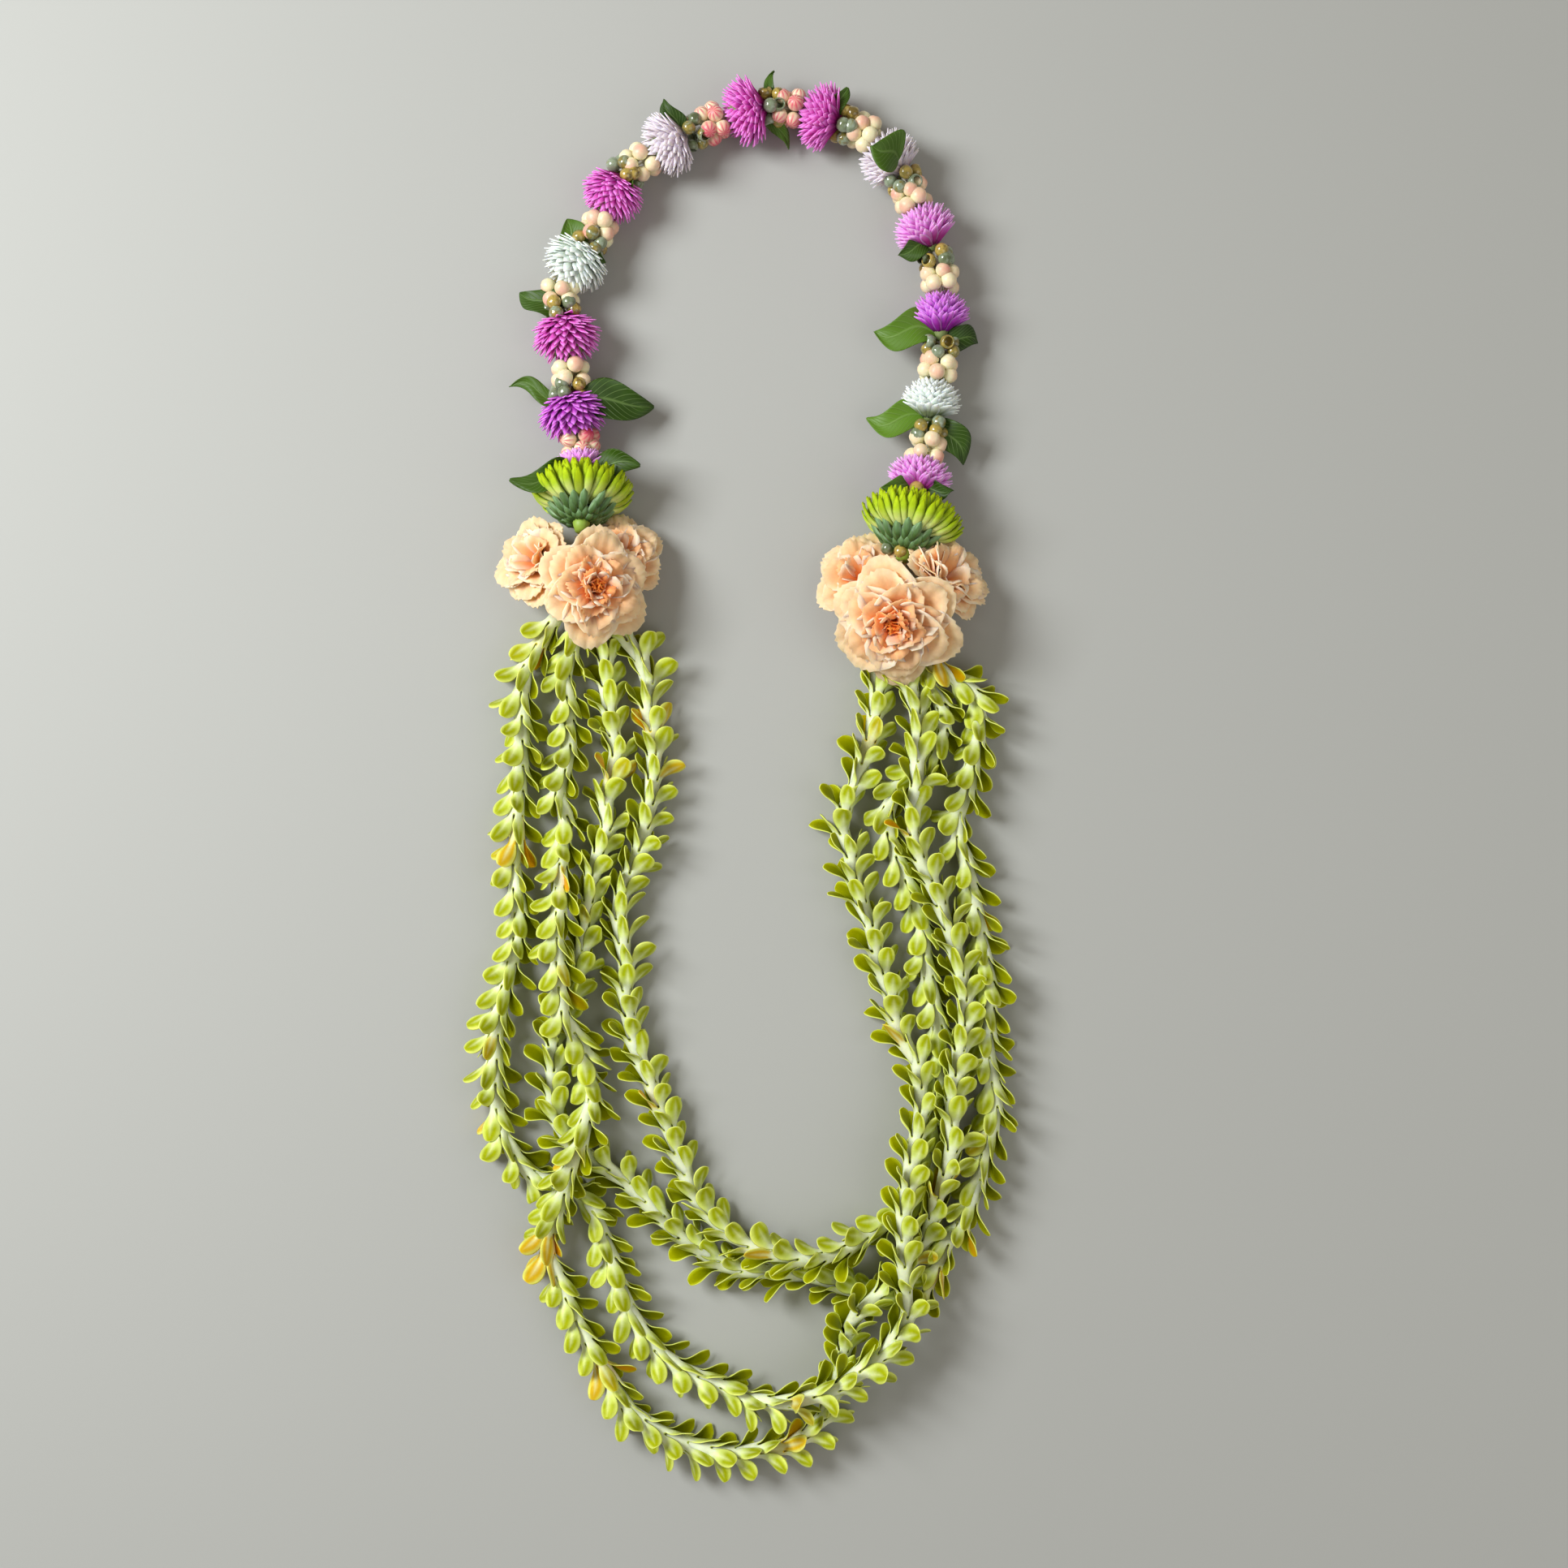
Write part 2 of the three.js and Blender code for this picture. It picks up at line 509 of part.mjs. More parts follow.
// A carnation: a slim calyx and three tiers of frilled petals above it.
function carnation(foot, middle, radius, grow = 0) {
  const axis = middle.clone().sub(foot);
  const place = placeAt(foot, axis);
  const h = axis.length();
  const rings = [
    [radius * 0.86, h * 0.72, 1.2, 1],
    [radius, h * 1.0, 1.6, 2.2],
    [radius * 0.66, h * 1.02, 0.8, 1],
    [radius * 0.72, h * 1.3, 1.4, 2],
    [radius * 0.34, h * 1.22, 0.8, 1],
    [radius * 0.36, h * 1.45, 1.2, 1.4],
  ];
  const head = frilled(place, 14, h * 0.5, rings, h * 1.28, grow);
  const calyx = new THREE.CylinderGeometry(4.2 + grow, 3 + grow, h * 0.75 + 2 * grow, 6);
  const axes = new THREE.Matrix4().makeBasis(place.side, place.forward, place.up.clone().negate());
  const centre = foot.clone().addScaledVector(place.forward, h * 0.375);
  return join([head, solidOf(calyx.applyMatrix4(axes).translate(centre.x, centre.y, centre.z))]);
}
// Each carnation's foot, the middle of its head, and its radius.
const CARNATIONS = [
  { name: "carnation_left_front", foot: [-57.5, 66.5, 12], middle: [-53.4, 69.6, 25], r: 21, first: true },
  { name: "carnation_left_side", foot: [-65.5, 69.5, 12], middle: [-80, 78, 17], r: 17 },
  { name: "carnation_left_back", foot: [-52, 71.5, 12], middle: [-40.5, 83, 15.5], r: 14.5 },
  { name: "carnation_right_front", foot: [56, 58, 12], middle: [51.6, 58.3, 25], r: 22, first: true },
  { name: "carnation_right_side", foot: [64.5, 61, 12], middle: [79, 69, 17], r: 16.5 },
  { name: "carnation_right_inner", foot: [50, 62.5, 12], middle: [37, 70.5, 15.5], r: 14.5 },
];

// The stringing thread with a knot at each end of the neck and a stitch into each carnation.
const knotBall = (centre, grow = 0) =>
  solidOf(new THREE.IcosahedronGeometry(2.8 + grow, 0).translate(centre.x, centre.y, centre.z));
const stitches = CARNATIONS.map(({ name, foot, middle }) => {
  const knot = name.includes("left") ? knots.left : knots.right;
  const start = vector(foot);
  const stop = start.clone().lerp(vector(middle), 0.3);
  return placesAt([knot, start, stop]);
});
const neckPlaces = placesAt(neckPoints);
const strandPlaces = strands.map(({ stations, end, toRight }) =>
  placesAt([toRight ? knots.left : knots.right, ...stations, end, toRight ? knots.right : knots.left]),
);
const allPlaces = [neckPlaces, ...strandPlaces, ...stitches];
const thread = join([
  ...Object.values(knots).map((centre) => knotBall(centre)),
  ...allPlaces.map((places) => beam(places, THREAD / 2)),
]);
const neckBore = beam(neckPlaces, THREAD / 2 + GAP);
const stitchBores = stitches.map((places) => beam(places, THREAD / 2 + GAP));
const knotRooms = Object.values(knots).map((centre) => knotBall(centre, 0.4));
const strandBores = strandPlaces.map((places) => beam(places, THREAD / 2 + GAP));

const lei = new THREE.Group();
function put(name, solid, color, roughness = 0.6) {
  const { vertProperties, triVerts, numProp } = solid.getMesh();
  const geometry = new THREE.BufferGeometry();
  const positions = new THREE.InterleavedBuffer(vertProperties, numProp);
  geometry.setAttribute("position", new THREE.InterleavedBufferAttribute(positions, 3, 0));
  geometry.setIndex([...triVerts]);
  const plain = geometry.toNonIndexed();
  plain.computeVertexNormals();
  const mesh = new THREE.Mesh(plain, new THREE.MeshStandardMaterial({ color, roughness, metalness: 0 }));
  mesh.name = name;
  lei.add(mesh);
}
const numbered = (name, index) => `${name}_${String(index + 1).padStart(2, "0")}`;

put("stringing_thread", thread, "#d9d6c4", 0.9);

// Berries and olives stay whole, heads give way to them, and the chrysanthemums to all of these.
const KEEP = 0.35;
const isNear = (a, b) => Math.abs(a.at - b.at) < NEIGHBOUR;
const rigid = slots.filter((slot) => slot.kind === "berries" || slot.kind === "olives");
const makers = { berries, olives, head: globeAmaranth, mum: buttonMum };
const grown = (slot) => makers[slot.kind](slot, KEEP);
rigid.forEach((slot, i) => {
  const earlier = rigid.slice(0, i).filter((other) => isNear(slot, other));
  const solid = largest(cut(makers[slot.kind](slot), [...earlier.map(grown), GROUND]));
  put(numbered(slot.kind, slot.index), solid, slot.kind === "berries" ? CREAM : OLIVE, 0.35);
});
const heads = slots.filter((slot) => slot.kind === "head");
const headSolids = [];
heads.forEach((slot) => {
  const tools = rigid.filter((other) => isNear(slot, other)).map(grown);
  const others = heads.filter((other) => other !== slot && isNear(slot, other)).map(grown);
  const done = headSolids.filter((other) => isNear(slot, other.slot)).map((other) => other.solid);
  const blades = bracts(slot).map((blade) => cut(blade, others));
  const body = cut(globeAmaranth(slot), done);
  const solid = largest(cut(join([body, ...blades]), [...tools, neckBore, GROUND]));
  headSolids.push({ slot, solid });
});
headSolids.forEach(({ slot, solid }) => {
  put(numbered("globe_amaranth", slot.index), solid, HEADS[slot.index].tint, 0.7);
});
const mums = slots.filter((slot) => slot.kind === "mum");
mums.forEach((slot) => {
  const near = [...rigid, ...heads].filter((other) => isNear(slot, other));
  const leaves = heads.filter((other) => isNear(slot, other)).flatMap(bracts);
  const tools = [...near.map(grown), ...leaves.map((blade) => blade.add(blade.translate([0, 0, -0.4])))];
  const solid = largest(cut(buttonMum(slot), [...tools, neckBore, GROUND]));
  put(`button_mum_${slot.side}`, solid, "#a9b83a", 0.6);
});
const placed = CARNATIONS.map((item) => ({ ...item, foot: vector(item.foot), middle: vector(item.middle) }));
placed.forEach((item, i) => {
  const whole = (other, grow) => carnation(other.foot, other.middle, other.r, grow);
  const others = placed.slice(0, i).filter((other) => other.foot.distanceTo(item.foot) < 60);
  const tools = [
    ...others.map((other) => whole(other, 2 * KEEP)),
    ...mums.map((slot) => buttonMum(slot, KEEP)),
    ...knotRooms,
    ...stitchBores,
    ...strandBores,
    neckBore,
    GROUND,
  ];
  put(item.name, largest(cut(whole(item, 0), tools)), "#e7b08a", 0.75);
});
const canopySolids = placed.map((item) => carnation(item.foot, item.middle, item.r, KEEP));
strands.forEach((strand) => {
  strand.ends.slice(1).forEach((to, i) => {
    const isEnd = i === 0 || i === strand.ends.length - 2;
    const whole = strandPart(strand, strand.ends[i], to);
    const solid = isEnd ? largest(cut(whole, [...canopySolids, ...knotRooms])) : whole;
    put(`pakalana_${strand.name}_${i + 1}`, solid, "#a3b04c", 0.6);
  });
});

export default lei;
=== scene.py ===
# A fresh flower lei laid flat on a pale table and seen from straight above.
# Everything is worked out in millimetres, with the table at z = 0 and the neck towards +Y,
# and each finished piece is turned into metres.
import bisect
import functools
import math
import random

import bmesh
import bpy
from mathutils import Matrix, Vector, kdtree


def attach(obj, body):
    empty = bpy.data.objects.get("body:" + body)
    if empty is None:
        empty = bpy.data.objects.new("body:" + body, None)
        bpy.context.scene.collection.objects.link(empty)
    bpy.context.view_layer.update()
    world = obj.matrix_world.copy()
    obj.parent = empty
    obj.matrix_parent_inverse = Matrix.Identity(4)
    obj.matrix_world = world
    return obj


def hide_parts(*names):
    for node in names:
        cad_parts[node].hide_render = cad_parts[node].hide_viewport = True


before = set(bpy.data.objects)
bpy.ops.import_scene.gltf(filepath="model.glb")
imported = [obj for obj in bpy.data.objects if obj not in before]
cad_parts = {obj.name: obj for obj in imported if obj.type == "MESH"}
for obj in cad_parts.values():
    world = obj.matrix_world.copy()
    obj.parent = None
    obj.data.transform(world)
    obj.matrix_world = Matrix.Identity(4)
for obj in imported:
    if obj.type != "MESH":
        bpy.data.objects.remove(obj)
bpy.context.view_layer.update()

# The stringing thread.
# A soft white cotton thread, 1.2 mm thick, that a needle draws through every flower.
# Four runs carry the strands and one the neck, and all are tied together at the two knots.
MM = 0.001
THREAD = 1.2
THREAD_SIDES = 8
KNOT_R = 2.8
# How far apart the solids' blooms sit, which sets where a strand is cut into nodes.
PITCH = 9.8
# Where the strands run from the left knot to the right one: across, up the picture, above the table.
ROUTES = {
    "outer_left": [
        (-64.4, 59.7, 7), (-75.7, 41.2, 7), (-79.2, 28.7, 7), (-79.8, 12.2, 7), (-80.9, -19.7, 7),
        (-82.1, -32.8, 7), (-80.3, -46.4, 7), (-81.5, -60.3, 7), (-88.2, -91.6, 7), (-88.4, -121.8, 7),
        (-80.9, -139.5, 7), (-73.7, -145, 6.5), (-65, -147.3, 6.5), (-58, -151.4, 6.5),
        (-53.1, -158.9, 7), (-44.7, -182.7, 7), (-35.1, -202.4, 7), (-19.7, -215.2, 7),
        (-10.4, -218.1, 7), (6.1, -224.7, 10), (21.5, -222.7, 15.5), (39.7, -214, 16),
        (54.8, -201, 14.5), (58.3, -192.3, 16), (56.8, -174.3, 18), (57.7, -151.7, 17),
        (60.9, -132.2, 14), (63.2, -122.7, 13), (62.1, -103.8, 10), (53.6, -88.7, 7), (52.5, -80.6, 7),
        (47.3, -64.7, 7), (46.1, -56, 7), (39.7, -40, 7), (39.1, -31.3, 7), (35.1, -15.9, 7),
        (41.8, -0.3, 7), (47.3, 23.2, 7), (47.6, 48.1, 7),
    ],
    "outer_low": [
        (-58.3, 59.7, 11), (-60.9, 44.9, 8), (-64.4, 37.7, 7), (-62.1, 9.9, 7), (-66.1, -5.2, 7),
        (-63.8, -19.1, 8), (-65.2, -32.8, 11), (-64.4, -40, 14), (-66.7, -60.3, 15.5),
        (-64.7, -73.4, 15.5), (-64.1, -86.4, 15.5), (-60.9, -92.2, 14), (-55.4, -106.1, 8.5),
        (-54.8, -120.6, 9), (-59.4, -134.8, 15.5), (-63.5, -147.9, 16), (-69.3, -160.7, 10),
        (-69.3, -176.3, 7), (-65.2, -182.7, 7), (-59.7, -197.2, 7), (-50.2, -212.3, 7),
        (-40.9, -228.5, 7), (-24.9, -239, 7), (-8.7, -243.6, 7), (15.1, -241.6, 7), (27.8, -232, 6.5),
        (33.6, -218.7, 6), (36, -204.7, 8), (39.4, -193.1, 14), (44.1, -189.4, 14.8),
        (53.4, -182.1, 10), (62.1, -172.8, 7.5), (67.3, -160.4, 9), (70.8, -146.7, 13),
        (74.5, -133.4, 14.5), (73.9, -117.7, 14.5), (77.1, -103.2, 14), (78.9, -87, 12),
        (77.4, -70.5, 10.5), (67.6, -40.6, 12.5), (64.4, -34.8, 12), (60.6, -21.2, 11),
        (59.4, -14.5, 12.5), (62.3, -2.3, 15), (61.5, 4.9, 14), (62.1, 20.9, 9.5), (54.5, 41.8, 11),
        (53.9, 47.6, 11),
    ],
    "outer_right": [
        (-52.5, 59.2, 7), (-49.3, 36.5, 7), (-47.3, 15.1, 7), (-44.1, 9, 7), (-49.9, -10.4, 7),
        (-48.4, -17.4, 7), (-49.6, -24.9, 7), (-52.5, -30.4, 7), (-56.3, -51.6, 7), (-58.6, -69, 7),
        (-67.9, -95.1, 7), (-68.1, -111.1, 7), (-68.4, -119.2, 7), (-62.6, -132.2, 7),
        (-43.8, -145.3, 7), (-34.2, -154.9, 7), (-7, -176.9, 7), (24.4, -180.7, 6.3),
        (43, -187.5, 5.6), (55, -189.6, 5.8), (65, -185, 6.5), (71.3, -172, 7), (78.9, -160.4, 7),
        (81.2, -153.1, 7), (84.4, -146.7, 7), (85.8, -139.5, 7), (90.5, -118.3, 7), (87.3, -96.6, 7),
        (88.2, -78.3, 7), (83.8, -52.5, 7), (81.5, -38.6, 7), (76.3, -18.3, 7), (80.3, -6.7, 7),
        (83.5, 15.1, 7), (84.7, 25.2, 8), (76, 33.9, 10), (70.2, 37.1, 11), (66.7, 47, 11),
    ],
    "inner_left": [
        (-46.4, 56.8, 11), (-40.3, 44.7, 9), (-36.5, 39.7, 8), (-33.3, 16.5, 7), (-32.2, 1.2, 7),
        (-37.1, -27, 7), (-45.5, -51, 7), (-42.6, -65.5, 7), (-42, -81.8, 7), (-38.9, -98, 7),
        (-33.1, -111.4, 7), (-21.5, -141.5, 7), (-15.1, -155.4, 7), (-4.1, -165.3, 10),
        (11.3, -170.8, 13.5), (28.1, -172.5, 13), (48.1, -164.1, 7), (63.2, -153.1, 6),
        (67, -134.3, 6), (70.2, -100.9, 7), (69, -85, 7), (65.8, -69, 7), (63.8, -52.5, 7),
        (55.1, -30.4, 7), (52, -20, 7), (51.5, -11, 7), (58.5, -2.5, 6.5), (69.3, 7.8, 7),
        (72.2, 20.9, 7), (65.8, 33.1, 7), (60.3, 47.6, 7),
    ],
}
# Two strands' blooms open towards the right knot, and those of the other two towards the left one.
TO_RIGHT = ("outer_left", "outer_low")
# The neck's run over the arch, from the right knot to the left one.
NECK = [
    (57.7, 58, 8), (58.3, 67.3, 9), (56.8, 76.6, 12.5), (60.3, 89, 15), (62.9, 105.6, 11.5),
    (66.1, 120.1, 10), (66.1, 133.4, 11), (70.2, 146.7, 10), (70.2, 163.6, 11), (69.9, 179.8, 10),
    (64.4, 194.9, 11), (58.6, 208.8, 10), (52.5, 220.4, 11), (41.2, 229.4, 10), (27.3, 233.7, 11.5),
    (16.2, 237.5, 10), (1.2, 236.1, 12), (-12.8, 231.1, 10), (-27.3, 223.9, 12), (-37.7, 217.2, 10),
    (-48.1, 207.1, 11.5), (-51.6, 193.7, 10), (-60.6, 181.5, 12), (-65.5, 171.1, 10.5),
    (-62.6, 155.4, 12.5), (-61.8, 140.9, 10.5), (-61.8, 126.4, 12.5), (-58, 117.2, 10.5),
    (-57.7, 110.2, 12), (-56.8, 99.8, 15), (-57.4, 86.1, 13), (-58.3, 76, 9), (-58.9, 66.7, 8),
]


def smooth(points):
    """Sixteen short chords to each span of a centripetal curve, with the length up to each point."""
    points = [Vector(point) for point in points]
    points = [2 * points[0] - points[1], *points, 2 * points[-1] - points[-2]]
    curve = []
    for p0, p1, p2, p3 in zip(points, points[1:], points[2:], points[3:]):
        d0, d1, d2 = (math.sqrt((b - a).length) for a, b in ((p0, p1), (p1, p2), (p2, p3)))
        leave = ((p1 - p0) / d0 - (p2 - p0) / (d0 + d1) + (p2 - p1) / d1) * d1
        reach = ((p2 - p1) / d1 - (p3 - p1) / (d1 + d2) + (p3 - p2) / d2) * d1
        for i in range(16):
            t = i / 16
            curve.append(
                (2 * t**3 - 3 * t**2 + 1) * p1
                + (t**3 - 2 * t**2 + t) * leave
                + (3 * t**2 - 2 * t**3) * p2
                + (t**3 - t**2) * reach
            )
    curve.append(points[-2])
    lengths = [0.0]
    for a, b in zip(curve, curve[1:]):
        lengths.append(lengths[-1] + (b - a).length)
    return curve, lengths


def point_on(route, distance):
    """The point of a smooth route at a distance from its start."""
    curve, lengths = route
    i = min(max(bisect.bisect_right(lengths, distance), 1), len(curve) - 1)
    share = (distance - lengths[i - 1]) / (lengths[i] - lengths[i - 1])
    return curve[i - 1].lerp(curve[i], min(max(share, 0), 1))


def place(point, along):
    """A frame at a point: its z axis runs along and its y axis is as near upright as it can be."""
    forward = along.normalized()
    reference = Vector((0, -1, 0)) if abs(forward.z) > 0.95 else Vector((0, 0, 1))
    side = reference.cross(forward).normalized()
    matrix = Matrix((side, forward.cross(side), forward)).transposed().to_4x4()
    matrix.translation = point
    return matrix


def polar(radius, angle, ahead):
    """A point in a place's own frame, round and along its z axis."""
    return Vector((radius * math.cos(angle), radius * math.sin(angle), ahead))


def circle(radius, count, ahead=0):
    """Points evenly round a place's z axis, in its own frame."""
    return [polar(radius, i * math.tau / count, ahead) for i in range(count)]


def linear(code):
    """A hex sRGB colour as the linear colour that shaders take."""
    parts = [int(code[i : i + 2], 16) / 255 for i in (1, 3, 5)]
    return [c / 12.92 if c <= 0.04045 else ((c + 0.055) / 1.055) ** 2.4 for c in parts] + [1]


def add_node(material, kind, inputs, stops=(), **settings):
    """Adds a shader node with its settings and colour stops, and sets or links each of its inputs."""
    node = material.node_tree.nodes.new("ShaderNode" + kind)
    for name, value in settings.items():
        setattr(node, name, value)
    for name, value in inputs.items():
        if isinstance(value, bpy.types.Node):
            value = value.outputs[0]
        if isinstance(value, bpy.types.NodeSocket):
            material.node_tree.links.new(value, node.inputs[name])
        else:
            node.inputs[name].default_value = value
    if stops:
        elements = node.color_ramp.elements
        while len(elements) < len(stops):
            elements.new(0.5)
        for element, (position, code) in zip(elements, stops):
            element.position = position
            element.color = linear(code)
    return node


def new_material(name):
    """A material without nodes, and the way to add some to it."""
    material = bpy.data.materials.new(name)
    material.use_nodes = True
    material.node_tree.nodes.clear()
    return material, functools.partial(add_node, material)


def surface(name, color, roughness, bump=0.0, grain=1.0):
    """A material of one plain colour with a fine uneven grain, whose size is in millimetres."""
    material, add = new_material(name)
    here = add("TexCoord", {}).outputs["Object"]
    uneven = add("TexNoise", {"Vector": here, "Scale": 1 / (grain * MM), "Detail": 3.0})
    relief = add("Bump", {"Height": uneven, "Strength": bump, "Distance": 0.3 * MM})
    shader = add(
        "BsdfPrincipled",
        {"Base Color": linear(color), "Roughness": roughness, "Normal": relief},
    )
    add("OutputMaterial", {"Surface": shader})
    return material


def new_mesh():
    """An empty mesh whose points carry the four numbers that the materials read."""
    bm = bmesh.new()
    for name in ("along", "edge", "side", "tone"):
        bm.verts.layers.float.new(name)
    return bm


def mark(bm, vert, along, edge, tone=None):
    """Writes a point's attributes, leaving its tone as it is where none is given."""
    layers = bm.verts.layers.float
    vert[layers["along"]] = along
    vert[layers["edge"]] = edge
    if tone is not None:
        vert[layers["tone"]] = tone


def draw_on(bm, row, targets, closed=False):
    """Extrudes a row of points to its targets, as a strip or a tube, and returns the new row."""
    ends = row[1:] + row[:1] if closed else row[1:]
    edges = [bm.edges.get(pair) for pair in zip(row, ends)]
    made = bmesh.ops.extrude_edge_only(bm, edges=edges)["geom"]
    fresh = {part for part in made if isinstance(part, bmesh.types.BMVert)}
    far = []
    for vert in row:
        links = (edge.other_vert(vert) for edge in vert.link_edges)
        far.append(next(other for other in links if other in fresh))
    for vert, target in zip(far, targets):
        vert.co = target
    return far


def ring(bm, points):
    """A closed ring of edges through some points."""
    verts = bmesh.ops.create_circle(bm, cap_ends=False, segments=len(points), radius=1)["verts"]
    for vert, point in zip(verts, points):
        vert.co = point
    return verts


def as_mesh(name, bm):
    """Ends the work on a mesh and keeps it under a name."""
    mesh = bpy.data.meshes.new(name)
    bm.to_mesh(mesh)
    bm.free()
    return mesh


def in_scene(name, data):
    """An object of the scene that shows a mesh, a lamp or a camera."""
    made = bpy.data.objects.new(name, data)
    bpy.context.scene.collection.objects.link(made)
    return made


def piece(name, bm, materials, nodes, thick=0.0, levels=0):
    """Turns a mesh in millimetres into a piece that stands for its solids."""
    bmesh.ops.scale(bm, vec=(MM, MM, MM), verts=bm.verts)
    mesh = as_mesh(name, bm)
    mesh.shade_smooth()
    for material in materials:
        mesh.materials.append(material)
    made = in_scene(name, mesh)
    if thick:
        sheet = made.modifiers.new("thickness", "SOLIDIFY")
        sheet.thickness = thick * MM
        sheet.offset = -1
        if len(materials) == 3:
            sheet.material_offset = 1
            sheet.material_offset_rim = 2
    if levels:
        rounded = made.modifiers.new("rounding", "SUBSURF")
        rounded.levels = levels
        rounded.render_levels = levels
    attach(made, "root")
    if nodes:
        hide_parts(*nodes)


# Cotton: matt and white, with the fine unevenness of spun yarn.
COTTON = surface("spun_cotton", "#e9e5d6", 0.9, bump=0.6, grain=0.5)

neck = smooth(NECK)
knots = {"right": point_on(neck, 0), "left": point_on(neck, neck[1][-1])}
strand_routes = {
    name: smooth(points if name in TO_RIGHT else points[::-1]) for name, points in ROUTES.items()
}


def thread_tube(bm, points):
    """A round thread through some points, closed at both ends."""
    rings = []
    for i, point in enumerate(points):
        ahead = points[min(i + 1, len(points) - 1)] - points[max(i - 1, 0)]
        here = place(point, ahead)
        rings.append([here @ around for around in circle(THREAD / 2, THREAD_SIDES)])
    first = row = ring(bm, rings[0])
    for targets in rings[1:]:
        row = draw_on(bm, row, targets, closed=True)
    bm.faces.new(first)
    bm.faces.new(row[::-1])


def evenly(route, start, stop, step):
    """Points along a route about a step apart."""
    count = max(1, round((stop - start) / step))
    return [point_on(route, start + (stop - start) * i / count) for i in range(count + 1)]


NECK_STEP = 8
WRAPS = 3
WRAP_TURN = 1.05
WRAP_STEPS = 16

bm = new_mesh()
for name, route in strand_routes.items():
    start, stop = ("left", "right") if name in TO_RIGHT else ("right", "left")
    thread_tube(bm, [knots[start], *evenly(route, 0, route[1][-1], PITCH / 2), knots[stop]])
thread_tube(bm, evenly(neck, 0, neck[1][-1], NECK_STEP))
for knot in knots.values():
    inside = bmesh.ops.create_uvsphere(bm, u_segments=14, v_segments=9, radius=KNOT_R - 0.4)["verts"]
    bmesh.ops.translate(bm, vec=knot, verts=inside)
    for turn in range(WRAPS):
        tilt = Matrix.Rotation(turn * WRAP_TURN, 4, "X") @ Matrix.Rotation(0.5, 4, "Y")
        wrap = Matrix.Translation(knot) @ tilt
        angles = (i * math.tau / WRAP_STEPS for i in range(WRAP_STEPS + 1))
        thread_tube(bm, [wrap @ polar(KNOT_R - 0.3, angle, 0) for angle in angles])
bmesh.ops.recalc_face_normals(bm, faces=bm.faces)
piece("cotton_thread_and_knots", bm, [COTTON], ["stringing_thread"])


# The pakalana blooms.
# Small waxy star flowers, each a pale tube that opens into five spoon-shaped lobes.
# Each is strung through its middle, its foot pressed into the mouth of the one before.
BLOOM_PITCH = 8.8
LOBE = 11
LOBE_WIDTH = 7
LOBES = 5
TUBE_SIDES = 3 * LOBES
TUBE_R = 2.4
MOUTH_R = 3.0
MOUTH_AT = BLOOM_PITCH - 1.1
FOOT_IN = 1.2
PETAL_THICK = 0.5
BLOOM_KINDS = 8
AXIS_STEP = 1.2
# How wide a lobe is, as a share of its full width, at shares of its length.
LOBE_OUTLINE = ((0.15, 0.58), (0.38, 0.98), (0.62, 1.08), (0.85, 0.9), (1.0, 0.42))
# Where each strand is cut into nodes, as shares of its length from the left knot.
STRANDS = {
    "outer_left": (0.3, 0.5, 0.725),
    "outer_low": (0.4, 0.68),
    "outer_right": (0.36, 0.62),
    "inner_left": (0.38, 0.52, 0.66),
}

flowers = random.Random(3)


def bloom(rng):
    """One bloom with its foot at the origin, opening along z, with lobes that curl as they please."""
    bm = new_mesh()
    row = ring(bm, circle(TUBE_R * 0.86, TUBE_SIDES, -FOOT_IN))
    for radius, ahead, along in ((TUBE_R * 1.05, BLOOM_PITCH * 0.42, 0), (MOUTH_R, MOUTH_AT, 0.05)):
        row = draw_on(bm, row, circle(radius, TUBE_SIDES, ahead), closed=True)
        for vert in row:
            mark(bm, vert, along, 0)
    for lobe in range(LOBES):
        middle = (3 * lobe + 1) * math.tau / TUBE_SIDES
        length = LOBE * rng.uniform(0.88, 1.08)
        width = LOBE_WIDTH * rng.uniform(0.88, 1.1)
        spread = math.radians(rng.uniform(24, 44))
        curl = math.radians(rng.uniform(-24, 30))
        twist = -math.radians(rng.gauss(48, 10))
        cup = rng.uniform(0.7, 1.6)
        ripe = rng.uniform(-0.12, 0.12)
        outward = Vector((math.cos(middle), math.sin(middle), 0))
        sideways = Vector((-math.sin(middle), math.cos(middle), 0))
        radius, ahead, last = MOUTH_R, MOUTH_AT, 0.0
        strip = row[3 * lobe : 3 * lobe + 3]
        for along, wide in LOBE_OUTLINE:
            angle = min(1, along / 0.3) * spread + curl * (along - 0.2)
            radius += math.sin(angle) * (along - last) * length
            ahead += math.cos(angle) * (along - last) * length
            last = along
            inner = Vector((0, 0, math.sin(angle))) - outward * math.cos(angle)
            turn = twist * min(1, 1.7 * along)
            half = (sideways * math.cos(turn) + inner * math.sin(turn)) * (width * wide / 2)
            centre = outward * radius + Vector((0, 0, ahead))
            rim = centre + inner * (cup * wide * (1 - 0.3 * along))
            strip = draw_on(bm, strip, [rim - half, centre, rim + half])
            for vert, edge in zip(strip, (1, 0.5 * along**2, 1)):
                mark(bm, vert, along, edge, ripe)
    bmesh.ops.recalc_face_normals(bm, faces=bm.faces)
    sample = min(bm.faces, key=lambda face: face.calc_center_median().z)
    if sample.normal.dot(sample.calc_center_median() * Vector((1, 1, 0))) < 0:
        bmesh.ops.reverse_faces(bm, faces=bm.faces)
    return as_mesh("bloom", bm)


